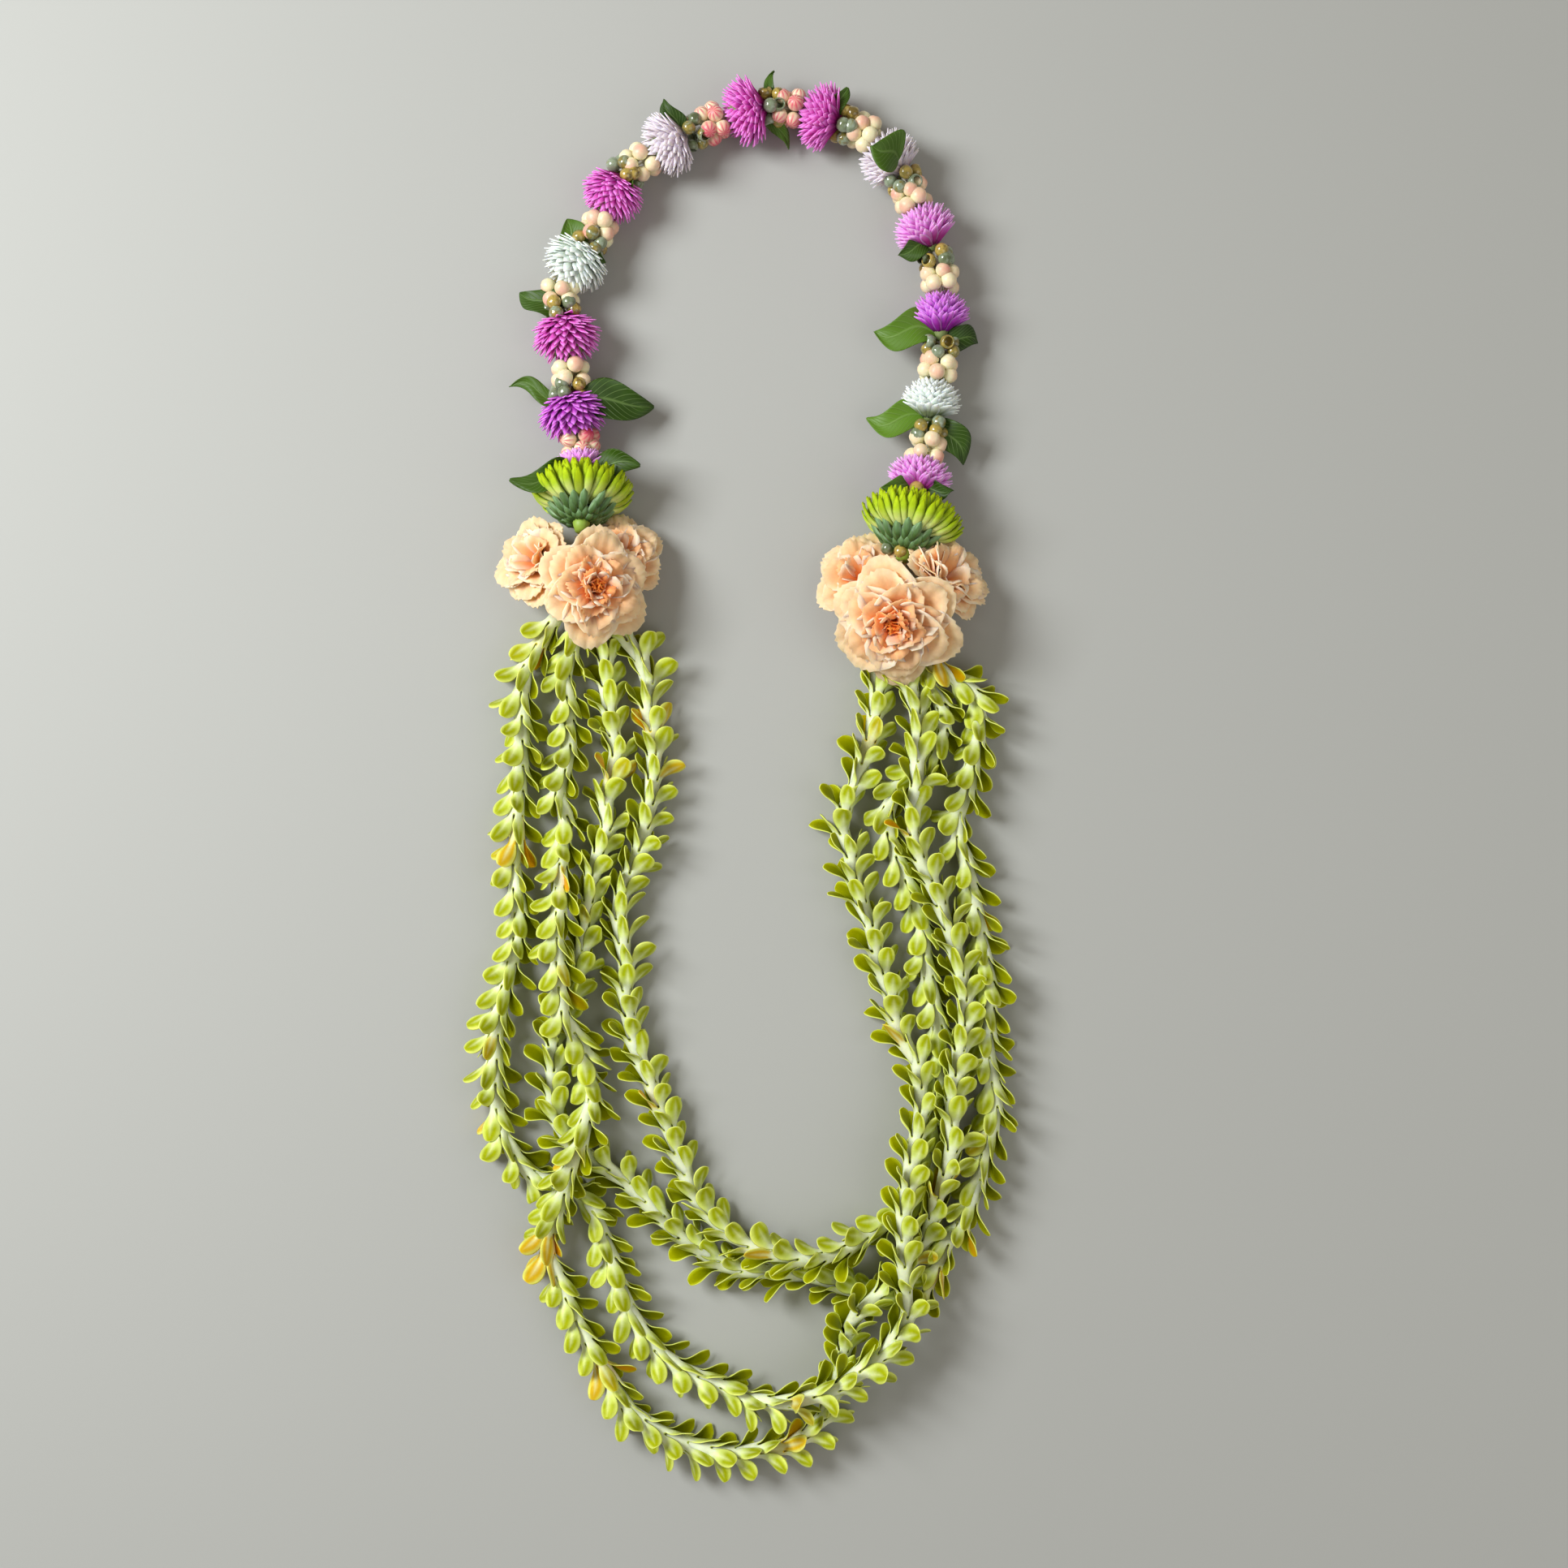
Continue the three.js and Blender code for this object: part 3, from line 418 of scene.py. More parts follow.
def copy_in(bm, prototype, matrix, tone):
    """Adds a prototype to a mesh, moved by a matrix, and returns its points."""
    first = len(bm.verts)
    bm.from_mesh(prototype)
    bm.verts.ensure_lookup_table()
    verts = bm.verts[first:]
    bmesh.ops.transform(bm, matrix=matrix, verts=verts)
    layer = bm.verts.layers.float["tone"]
    for vert in verts:
        vert[layer] += tone
    return verts


def petal(
    name, stops, margin, aged, roughness,
    soft=0.35, streak=0.8, gloss=0.25, old_from=0.8, rib_highlight=None,
):
    """A petal's skin: colours from root to tip, an older colour on some, a painted highlight along the
    rib, and a margin colour of its own, which some skins use for painted shade and some for painted
    highlight.

    Soft is how much light goes through it, streak the size of its fine grain in millimetres,
    and old_from the tone above which a petal turns to the older colour.
    """
    material, add = new_material(name)
    along, edge, tone = (
        add("Attribute", {}, attribute_name=layer).outputs["Fac"]
        for layer in ("along", "edge", "tone")
    )
    here = add("TexCoord", {}).outputs["Object"]
    uneven = add("TexNoise", {"Vector": here, "Scale": 1 / (4 * MM), "Detail": 3.0})
    fine = add("TexNoise", {"Vector": here, "Scale": 1 / (streak * MM), "Detail": 2.0})
    color = add("ValToRGB", {"Fac": along}, stops=stops)
    # Mixed in turn: the older colour by tone, a painted highlight along the rib, and the margin colour,
    # which is painted shade on the chrysanthemum rays and partly painted highlight on the carnations
    # and cup scales.
    for code, share, start, stop, most, way in (
        (aged, tone, old_from, 1.0, 1.0, "LINEAR"),
        (rib_highlight, edge, 0.5, 0.0, 0.6, "SMOOTHSTEP"),
        (margin, edge, 0.55, 1.0, 0.7, "SMOOTHSTEP"),
    ):
        if code:
            amount = add(
                "MapRange",
                {"Value": share, "From Min": start, "From Max": stop, "To Max": most},
                interpolation_type=way,
            )
            color = add("MixRGB", {"Fac": amount, "Color1": color, "Color2": linear(code)})
    light = add(
        "MapRange",
        {"Value": uneven, "From Min": 0.3, "From Max": 0.7, "To Min": 0.86, "To Max": 1.12},
    )
    color = add("HueSaturation", {"Value": light, "Color": color})
    relief = add("Bump", {"Height": fine, "Strength": 0.25, "Distance": 0.2 * MM})
    shader = add(
        "BsdfPrincipled",
        {
            "Base Color": color,
            "Roughness": roughness,
            "Specular IOR Level": gloss,
            "Specular Tint": linear(margin),
            "Subsurface Weight": soft,
            "Subsurface Scale": 1.5 * MM,
            "Subsurface Radius": (1.0, 0.8, 0.4),
            "Normal": relief,
        },
    )
    add("OutputMaterial", {"Surface": shader})
    return material


# The back of a lobe and the tube: waxy yellow-green, with a painted highlight as a pale stripe along
# the lobe's rib, and almost white on the tube, partly its own pale colour and partly painted highlight.
PAKALANA_BACK = petal(
    "pakalana_petal_back",
    [(0.0, "#f8fee8"), (0.28, "#dcec84"), (0.55, "#a8b40a"), (1.0, "#a2aa02")],
    "#e2ee7e",
    "#dcb41e",
    0.34,
    gloss=0.45,
    old_from=0.92,
    rib_highlight="#eef6c2",
)
# The face of a lobe: deep yellow-green, with painted shade that darkens it towards the throat.
PAKALANA_FACE = petal(
    "pakalana_petal_face",
    [(0.0, "#566002"), (0.3, "#687000"), (0.7, "#828700"), (1.0, "#9c9e04")],
    "#bcc21c",
    "#dd9a0c",
    0.45,
    gloss=0.12,
    old_from=0.92,
)
# The thin margin round a lobe: light cream green that outlines every spoon.
PAKALANA_MARGIN = petal(
    "pakalana_petal_margin",
    [(0.0, "#deea80"), (1.0, "#e4ee70")],
    "#e6f07a",
    "#f0c63a",
    0.5,
    old_from=0.92,
)

blooms = [bloom(flowers) for _ in range(BLOOM_KINDS)]


def axis_tree(points):
    """A search tree over some points."""
    tree = kdtree.KDTree(len(points))
    for i, point in enumerate(points):
        tree.insert(point, i)
    tree.balance()
    return tree


axes = {name: evenly(route, 0, route[1][-1], AXIS_STEP) for name, route in strand_routes.items()}
own_trees = {name: axis_tree(points) for name, points in axes.items()}
other_trees = {
    name: axis_tree([point for other, points in axes.items() if other != name for point in points])
    for name in axes
}
# How much nearer to another strand than to its own a point may be, and how far it is moved back.
SLACK = 0.8
BACK_SHARE = 0.55
MOST_BACK = 3.5 * BACK_SHARE
# The carnations press the blooms under them down to a height, within reach of a place near each knot.
CANOPY_REACH = 27
CANOPY_Z = 14.5
CANOPY_INWARD = 4
CANOPY_UP = 1
BLOOM_CLEAR = 0.9


def give_way(name, point):
    """Where a lobe's point ends up once other strands, the carnations and the table press on it."""
    for _ in range(2):
        own, _, own_distance = own_trees[name].find(point)
        other, _, other_distance = other_trees[name].find(point)
        excess = own_distance - other_distance - SLACK
        if excess > 0:
            point = point + (own - other).normalized() * min(excess * BACK_SHARE, MOST_BACK)
    for side, knot in knots.items():
        inward = CANOPY_INWARD if side == "left" else -CANOPY_INWARD
        apart = math.hypot(point.x - knot.x - inward, point.y - knot.y - CANOPY_UP)
        if apart < CANOPY_REACH:
            point.z = min(point.z, CANOPY_Z)
    point.z = max(point.z, BLOOM_CLEAR)
    return point


def leaning(rng, spread):
    """A small random lean about x and about y."""
    return Matrix.Rotation(rng.gauss(0, spread), 4, "X") @ Matrix.Rotation(rng.gauss(0, spread), 4, "Y")


for name, shares in STRANDS.items():
    route = strand_routes[name]
    pairs = round((route[1][-1] - PITCH) / PITCH / 2)
    step = (route[1][-1] - PITCH) / pairs
    cuts = shares if name in TO_RIGHT else [1 - share for share in shares[::-1]]
    ends = [0, *(math.floor(share * pairs + 0.5) for share in cuts), pairs]
    for part, (first, last) in enumerate(zip(ends, ends[1:])):
        bm = new_mesh()
        start, stop = first * step, last * step
        strung = evenly(route, start, stop, BLOOM_PITCH)
        for foot, mouth in zip(strung, strung[1:]):
            turn = Matrix.Rotation(flowers.uniform(0, math.tau), 4, "Z")
            size = Matrix.Diagonal((1, 1, (mouth - foot).length / BLOOM_PITCH, 1))
            lean = leaning(flowers, 0.05)
            tone = flowers.random()
            matrix = place(foot, mouth - foot) @ lean @ turn @ size
            for vert in copy_in(bm, flowers.choice(blooms), matrix, tone):
                vert.co = give_way(name, vert.co.copy())
        piece(
            f"blooms_{name}_{part + 1}",
            bm,
            [PAKALANA_BACK, PAKALANA_FACE, PAKALANA_MARGIN],
            [f"pakalana_{name}_{part + 1}"],
            thick=PETAL_THICK,
            levels=1,
        )


# The neck's slots.
# The neck thread carries everything in turn: a needle passes each thing through its middle.
# Here is how far along the thread each thing sits, and what room it takes on each side.
BERRIES = (60.4, 89.5, 121.4, 153, 182.4, 210.2, 238.6, 269, 298.2, 326, 355, 382)
OLIVES = (41, 67.8, 97.6, 130.2, 160, 190, 218, 248, 276.4, 305, 333.4, 362.6)
MUM_AT = {"right": 32.7, "left": 401.4}
MUM_ROOM = 9
BERRY_ROOM = 3.2
OLIVE_ROOM = 3.4
# For each amaranth head also its width, its colour, how far round to its back the bracts go,
# and its leaves: where the tip is, how wide the leaf is, and how pale, which is partly painted light,
# a brightly lit leaf being given a paler green. Some have broader bracts,
# leaves rooted above the thread, or face back along it.
HEADS = [
    {
        "at": 49.6, "long": 15, "wide": 22.5, "tint": "pink", "back": 1.35,
        "leaves": [(74, 99, 20, 8, 0.1), (49, 101, 19, 8, 0.5)],
    },
    {
        "at": 78.2, "long": 15, "wide": 20.5, "tint": "white", "back": 1.35, "broad": 1.35,
        "leaves": [(44, 127, 7, 12, 0.9), (78.5, 110, 8, 12, 0.15)],
    },
    {
        "at": 108.1, "long": 16, "wide": 20, "tint": "violet", "back": 1.15,
        "leaves": [(46.5, 157.5, 9, 14, 0.75), (84, 154, 6, 10, 0.1)],
    },
    {
        "at": 140.6, "long": 17, "wide": 21.5, "tint": "pink", "back": 1.3,
        "leaves": [(55, 184, 13, 9, 0.2)],
    },
    {
        "at": 168.2, "long": 17, "wide": 21.5, "tint": "blush", "back": 1.5, "above": 9,
        "leaves": [(45, 218.5, 28, 16, 0.4)],
    },
    {
        "at": 199.1, "long": 15, "wide": 23.5, "tint": "magenta", "back": 1.5,
        "leaves": [(37, 243, 15, 7, 0.3)],
    },
    {
        "at": 226.3, "long": 15, "wide": 24, "tint": "magenta", "back": 1.5,
        "leaves": [(11, 250.5, 10, 4, 0.3), (16, 223.5, 6, 5, 0.4)],
    },
    {
        "at": 257.7, "long": 16, "wide": 23, "tint": "blush", "back": 1.5,
        "leaves": [(-28, 239, 15, 7, 0.1)],
    },
    {
        "at": 284.9, "long": 17, "wide": 22, "tint": "magenta", "back": 1.6,
        "leaves": [(-39, 205, 14, 9, 0.6)],
    },
    {
        "at": 315, "long": 18, "wide": 23, "tint": "white", "back": 1.75, "broad": 1.35,
        "leaves": [(-63, 197, 12, 11, 0.5), (-49, 182, 12, 8, 0.2)],
    },
    {
        "at": 343.4, "long": 17.5, "wide": 24.5, "tint": "magenta", "back": 1.75,
        "leaves": [(-80, 171.5, 9, 11, 0.2)],
    },
    {
        "at": 373.4, "long": 19.5, "wide": 25, "tint": "purple", "back": 1.85,
        "leaves": [(-84, 138, 8, 6.5, 0.4), (-32, 131, 8, 15, 0.1)],
    },
    {
        "at": 388.6, "long": 10, "wide": 18.5, "tint": "pink", "back": 1.2, "flip": True,
        "leaves": [(-82, 103, 22, 10, 0.3), (-36, 108, 21, 11, 0.2)],
    },
]

things = [("mum", side, at, MUM_ROOM) for side, at in MUM_AT.items()]
things += [("head", i, head["at"], head["long"] / 2) for i, head in enumerate(HEADS)]
things += [("berries", i, at, BERRY_ROOM) for i, at in enumerate(BERRIES)]
things += [("olives", i, at, OLIVE_ROOM) for i, at in enumerate(OLIVES)]
slots = [dict(zip(("kind", "key", "at", "half"), thing)) for thing in things]
slots.sort(key=lambda slot: slot["at"])
start = slots[0]["at"] - slots[0]["half"]
for slot, after in zip(slots, [*slots[1:], None]):
    stop = slot["at"] + slot["half"]
    if after:
        stop = slot["at"] + (after["at"] - slot["at"]) * slot["half"] / (slot["half"] + after["half"])
    first, last = point_on(neck, start), point_on(neck, stop)
    slot["place"] = place((first + last) / 2, last - first)
    slot["long"] = (last - first).length
    start = stop


def slots_of(kind):
    """The slots of one kind of thing, in the order in which they are strung."""
    return [slot for slot in slots if slot["kind"] == kind]


# The berries.
# Firm round snowberries, cream with a pink blush on the side that had the sun.
# Each group is two rings of five pressed together round the thread.
BERRY_R = 3.05
BERRY_REACH = 4.9
BERRY_APART = 4.6
BERRY_LINES = 9.0
FRUIT_CLEAR = 0.05

fruits = random.Random(11)


def berry_skin(name, base, blush, streaks):
    """A berry's skin: a pale ground, a soft blush at the far pole, and fine lines from pole to pole."""
    material, add = new_material(name)
    along, edge, side, tone = (
        add("Attribute", {}, attribute_name=layer).outputs["Fac"]
        for layer in ("along", "edge", "side", "tone")
    )
    here = add("TexCoord", {}).outputs["Object"]
    patchy = add("TexNoise", {"Vector": here, "Scale": 1 / (5 * MM), "Detail": 3.0})
    reach = add("Math", {0: along, 1: tone, 2: patchy}, operation="MULTIPLY_ADD")
    amount = add("MapRange", {"Value": reach, "From Min": 0.75, "From Max": 1.5})
    around = add("Math", {0: side, 1: edge}, operation="ARCTAN2")
    turn = add("Math", {0: around, 1: BERRY_LINES}, operation="MULTIPLY")
    wave = add("Math", {0: turn}, operation="SINE")
    line = add("MapRange", {"Value": wave, "From Min": -0.1, "From Max": 0.6, "To Max": streaks})
    outer = add("MapRange", {"Value": along, "From Min": 0.3, "From Max": 0.85})
    line = add("Math", {0: line, 1: outer}, operation="MULTIPLY")
    color = add("MixRGB", {"Fac": amount, "Color1": linear(base), "Color2": linear(blush)})
    color = add("MixRGB", {"Fac": line, "Color1": color, "Color2": linear(blush)})
    shader = add(
        "BsdfPrincipled",
        {
            "Base Color": color,
            "Roughness": 0.38,
            "Subsurface Weight": 0.25,
            "Subsurface Scale": 3 * MM,
            "Subsurface Radius": (1.0, 0.7, 0.4),
        },
    )
    add("OutputMaterial", {"Surface": shader})
    return material


# Cream berries: waxy and matt, with a soft pink blush towards the tip.
CREAM_SKIN = berry_skin("cream_berry_skin", "#f4ecc2", "#eaa492", 0.1)
# Pink berries: the same fruit riper, with darker lines from pole to pole.
PINK_SKIN = berry_skin("pink_berry_skin", "#f4e4c0", "#d42c5e", 0.75)
PINK_GROUPS = (6, 7, 12)


def ball(rng, radius, rings, squeeze):
    """A fruit with its stalk at the origin, reaching out along z; edge and side are its x and y."""
    bm = new_mesh()
    verts = bmesh.ops.create_uvsphere(
        bm, u_segments=2 * rings, v_segments=rings, radius=radius
    )["verts"]
    for vert in verts:
        share = vert.co.z / radius / 2 + 0.5
        mark(bm, vert, share, vert.co.x / radius, 0)
        vert[bm.verts.layers.float["side"]] = vert.co.y / radius
        pinch = 1 - squeeze * abs(share - 0.45)
        vert.co.x *= pinch
        vert.co.y *= pinch
        dent = 0.1 * radius * max(0, share - 0.93) / 0.07
        vert.co.z += radius * rng.uniform(0.95, 1.0) - dent
    return as_mesh("ball", bm)


berry_kinds = [ball(fruits, BERRY_R, 9, fruits.uniform(0, 0.25)) for _ in range(4)]


def ring_of(bm, here, kinds, counts, reach, radius, apart):
    """Rings of fruits round a place on the thread, each ring in the hollows of the one before."""
    turn = here.translation.x
    for row, count in enumerate(counts):
        ahead = (row - (len(counts) - 1) / 2) * apart
        for i in range(count):
            angle = turn + (i + row * 0.5 + fruits.uniform(-0.07, 0.07)) * math.tau / count
            out = Matrix.Rotation(angle, 4, "Z") @ Matrix.Rotation(math.pi / 2, 4, "Y")
            lean = leaning(fruits, 0.2)
            size = Matrix.Scale(fruits.uniform(0.88, 1.02), 4)
            ahead_by = Matrix.Translation((0, 0, ahead))
            out_by = Matrix.Translation((0, 0, reach - radius))
            matrix = here @ ahead_by @ out @ out_by @ lean @ size
            verts = copy_in(bm, fruits.choice(kinds), matrix, fruits.uniform(0.2, 1))
            lift = max(0, FRUIT_CLEAR - min(vert.co.z for vert in verts))
            bmesh.ops.translate(bm, vec=(0, 0, lift), verts=verts)


for slot in slots_of("berries"):
    bm = new_mesh()
    ring_of(bm, slot["place"], berry_kinds, (5, 5), BERRY_REACH, BERRY_R, BERRY_APART)
    number = slot["key"] + 1
    skin = PINK_SKIN if number in PINK_GROUPS else CREAM_SKIN
    piece(f"berry_rings_{number:02}", bm, [skin], [f"berries_{number:02}"])


# The olives.
# Small hard seed capsules with a thin polished skin, olive brown to grey green.
# Two rings go round the thread, and here and there one has split into an open cup.
OLIVE_R = 2.7
OLIVE_REACH = 5.2
OLIVE_APART = 3.4


def capsule_skin():
    """A capsule's skin: each fruit takes its colour from its own tone, under a clear shine."""
    material, add = new_material("capsule_skin")
    tone = add("Attribute", {}, attribute_name="tone").outputs["Fac"]
    here = add("TexCoord", {}).outputs["Object"]
    mottle = add("TexNoise", {"Vector": here, "Scale": 1 / (2 * MM), "Detail": 4.0})
    spot = add(
        "MapRange",
        {"Value": mottle, "From Min": 0.35, "From Max": 0.7, "To Min": -0.14, "To Max": 0.14},
    )
    pick = add("Math", {0: tone, 1: spot}, operation="ADD")
    greens = [(0.0, "#3e4220"), (0.25, "#6e7a58"), (0.5, "#94a28a")]
    browns = [(0.62, "#7e7434"), (0.85, "#bca24e"), (1.0, "#705c24")]
    color = add("ValToRGB", {"Fac": pick}, stops=greens + browns)
    shader = add(
        "BsdfPrincipled",
        {"Base Color": color, "Roughness": 0.2, "Coat Weight": 0.8, "Coat Roughness": 0.08},
    )
    add("OutputMaterial", {"Surface": shader})
    return material


# Capsules: a hard polished skin, grey green on some and olive brown on others, softly mottled.
CAPSULE = capsule_skin()


def open_cup(radius):
    """A split capsule: a round shell cut open at the far end, with a thick lip."""
    bm = new_mesh()
    bmesh.ops.create_uvsphere(bm, u_segments=16, v_segments=10, radius=radius)
    far = [vert for vert in bm.verts if vert.co.z > 0.62 * radius]
    bmesh.ops.delete(bm, geom=far, context="VERTS")
    inner = bmesh.ops.duplicate(bm, geom=bm.faces[:] + bm.edges[:] + bm.verts[:])["geom"]
    inner_faces = [part for part in inner if isinstance(part, bmesh.types.BMFace)]
    inner_verts = [part for part in inner if isinstance(part, bmesh.types.BMVert)]
    bmesh.ops.scale(bm, vec=(0.8, 0.8, 0.86), verts=inner_verts)
    bmesh.ops.reverse_faces(bm, faces=inner_faces)
    bmesh.ops.bridge_loops(bm, edges=[edge for edge in bm.edges if edge.is_boundary])
    bmesh.ops.recalc_face_normals(bm, faces=bm.faces)
    for vert in bm.verts:
        mark(bm, vert, 0.5, 0)
        vert.co.z += radius
    return as_mesh("cup", bm)


closed_kinds = [ball(fruits, OLIVE_R, 8, fruits.uniform(-0.1, 0.2)) for _ in range(3)]
olive_kinds = [*closed_kinds, open_cup(OLIVE_R)]
for slot in slots_of("olives"):
    bm = new_mesh()
    ring_of(bm, slot["place"], olive_kinds, (5, 4), OLIVE_REACH, OLIVE_R, OLIVE_APART)
    number = slot["key"] + 1
    piece(f"capsule_ring_{number:02}", bm, [CAPSULE], [f"olives_{number:02}"])

# One more ring sits at the right chrysanthemum's stalk, close to the knot.
LAST_RING_AT = 21.5
LAST_RING_REACH = 7.2
ahead = point_on(neck, LAST_RING_AT + 1) - point_on(neck, LAST_RING_AT - 1)
here = place(point_on(neck, LAST_RING_AT), ahead)
bm = new_mesh()
ring_of(bm, here, closed_kinds, (7,), LAST_RING_REACH, OLIVE_R, OLIVE_APART)
piece("capsule_ring_at_stalk", bm, [CAPSULE], [])


# The globe amaranth heads.
# Each is a short globe of stiff papery bracts, packed in spirals round a small core.
# One or two leaves stay under it, as they grew, and the thread passes through the core.
BRACTS = 190
BRACT_WIDTH = 3.3
BRACT_LENGTH = 10
BRACT_THICK = 0.3
BRACT_FLARE = 0.58
LEAF_THICK = 0.45
GOLDEN_TURN = math.pi * (3 - math.sqrt(5))
LEAF_RIBS = 9.0
RIB_SLANT = 3.2
# How far above the table the blades of petals and leaves stay, which leaves room for their thickness.
PETAL_CLEAR = 0.35
LEAF_CLEAR = 0.7
# Each head's colours: deep at a bract's root, the middle, and the tip. The deep root colour is partly
# the bract's own and partly painted shade where the bracts crowd into the head; on the white heads its
# grey green is painted shade.
TINTS = {
    "pink": ("#ae328c", "#da66cc", "#f6b8f3"),
    "magenta": ("#9c1874", "#cc44b0", "#f690e6"),
    "violet": ("#8a2090", "#bf48cc", "#e496ee"),
    "purple": ("#6e105e", "#b03ab6", "#e688ee"),
    "blush": ("#b8a2ae", "#dccdd8", "#f2e9f0"),
    "white": ("#7c8a62", "#ccd8cc", "#f4fbf6"),
}

amaranths = random.Random(5)


def blade(bm, rows, columns, shape, tone=0.0):
    """A sheet of quads laid out by shape(along, across), which gives a point."""
    grid = bmesh.ops.create_grid(bm, x_segments=columns, y_segments=rows, size=1)["verts"]
    for vert in grid:
        along, across = vert.co.y / 2 + 0.5, vert.co.x
        mark(bm, vert, along, abs(across), tone)
        vert.co = shape(along, across)


def bract(bend, fold):
    """One papery bract of unit length along y, folded along its keel and bowed outward at the tip."""
    bm = new_mesh()

    def shape(along, across):
        wide = min(1, 0.4 + 1.5 * along) * (1 - 0.92 * (max(0, along - 0.5) / 0.5) ** 1.9)
        half = BRACT_WIDTH / 2 * wide
        return Vector((across * half, along, -abs(across) * fold * wide + bend * along**3))

    blade(bm, 4, 2, shape)
    return as_mesh("bract", bm)


bract_kinds = [bract(amaranths.uniform(-0.6, 0.9), amaranths.uniform(0.2, 0.7)) for _ in range(5)]


def aimed(root, tip, outward):
    """A frame at a root: y runs to the tip, whose distance scales it, and z faces outward."""
    forward = tip - root
    side = forward.cross(outward).normalized()
    matrix = Matrix((side, forward, side.cross(forward.normalized()))).transposed().to_4x4()
    matrix.translation = root
    return matrix


def grow(bm, rng, kinds, here, root, tip, facing, most_tone, broad=1):
    """Adds one stiff blade between two points of a place's own frame, and keeps it off the table."""
    matrix = aimed(here @ root, here @ tip, here.to_3x3() @ facing) @ Matrix.Diagonal((broad, 1, 1, 1))
    for vert in copy_in(bm, rng.choice(kinds), matrix, rng.uniform(0, most_tone)):
        vert.co.z = max(vert.co.z, PETAL_CLEAR)


def heart(bm, here, sides, rows, wide, long):
    """A plain rounded middle at a place, which the petals hide."""
    verts = bmesh.ops.create_uvsphere(bm, u_segments=sides, v_segments=rows, radius=1)["verts"]
    bmesh.ops.scale(bm, vec=(wide, wide, long), verts=verts)
    bmesh.ops.transform(bm, matrix=here, verts=verts)


def stalk(bm, here, sides, ahead, long, foot_r, top_r):
    """A plain stalk or tube along a place's z axis, with its middle so far ahead."""
    verts = bmesh.ops.create_cone(
        bm, cap_ends=True, segments=sides, radius1=foot_r, radius2=top_r, depth=long
    )["verts"]
    bmesh.ops.transform(bm, matrix=here @ Matrix.Translation((0, 0, ahead)), verts=verts)


# One papery skin for each colour of head: deep at the root, partly with painted shade, and pale and dry
# at the tip.
BRACT_SKINS = {
    tint: petal(
        f"amaranth_bract_{tint}",
        [(0.0, deep), (0.4, deep), (0.68, middle), (1.0, tip)],
        tip,
        tip,
        0.6,
        streak=0.5,
    )
    for tint, (deep, middle, tip) in TINTS.items()
}


def leaf_skin():
    """A leaf's skin: dark green between pale ribs that run forward from the midrib, with a shine."""
    material, add = new_material("amaranth_leaf")
    along, edge, tone = (
        add("Attribute", {}, attribute_name=layer).outputs["Fac"]
        for layer in ("along", "edge", "tone")
    )
    here = add("TexCoord", {}).outputs["Object"]
    uneven = add("TexNoise", {"Vector": here, "Scale": 1 / (6 * MM), "Detail": 3.0})
    drift = add("Math", {0: edge, 1: RIB_SLANT}, operation="MULTIPLY")
    steps = add("Math", {0: along, 1: LEAF_RIBS}, operation="MULTIPLY")
    phase = add("Math", {0: steps, 1: drift}, operation="SUBTRACT")
    turn = add("Math", {0: phase, 1: math.tau}, operation="MULTIPLY")
    wave = add("Math", {0: turn}, operation="COSINE")
    ribs = add("MapRange", {"Value": wave, "From Min": 0.8, "From Max": 1.0})
    midrib = add("MapRange", {"Value": edge, "From Min": 0.1, "From Max": 0.03})
    lines = add("Math", {0: ribs, 1: midrib}, operation="MAXIMUM")
    faint = add("Math", {0: lines, 1: 0.3}, operation="MULTIPLY")
    color = add("ValToRGB", {"Fac": uneven}, stops=[(0.3, "#142903"), (0.7, "#264208")])
    # A leaf's tone makes it a paler green: partly its own colour and partly painted light on the
    # brightly lit leaves.
    for amount, code in ((tone, "#608820"), (faint, "#8aa860")):
        color = add("MixRGB", {"Fac": amount, "Color1": color, "Color2": linear(code)})
    relief = add("Bump", {"Height": lines, "Strength": 0.5, "Distance": 0.4 * MM})
    shader = add(
        "BsdfPrincipled",
        {"Base Color": color, "Roughness": 0.45, "Specular IOR Level": 0.3, "Normal": relief},
    )
    add("OutputMaterial", {"Surface": shader})
    return material


# Leaves: half-glossy green with pale forward-running ribs.
LEAF = leaf_skin()


def leaf_on(bm, root, tip, width, tone, rng):
    """One leaf from a root to a tip, arched, folded a little along its midrib and wavy at its sides."""
    along_it = tip - root
    flat = Vector((0, 0, 1)).cross(along_it).normalized()
    up = along_it.cross(flat).normalized()
    arch = rng.uniform(0.08, 0.16) * along_it.length
    sway = rng.uniform(-0.12, 0.12) * along_it.length
    bend = rng.choice((-1, 1)) * rng.uniform(0.04, 0.1) * along_it.length
    wave = rng.uniform(0.6, 1.6)
    phase = rng.uniform(0, math.tau)

    def shape(along, across):
        wide = math.sin(math.pi * min(1, 0.04 + 0.96 * along) ** 0.8) ** 0.85 + 0.02
        centre = root.lerp(tip, along) + up * (arch * math.sin(along * math.pi))
        centre += flat * (sway * math.sin(along * math.pi) + bend * math.sin(along * math.tau))
        ripple = wave * across * across * math.sin(along * 7 + phase + 2 * across)
        half = wide * width / 2
        point = centre + flat * (across * half) + up * (ripple + abs(across) * half * 0.24)
        point.z = max(point.z, LEAF_CLEAR)
        return point

    blade(bm, 14, 8, shape, tone=tone)


# The head's solid middle and its stalk: matt grey green.
CORE = surface("amaranth_core", "#76854c", 0.7)


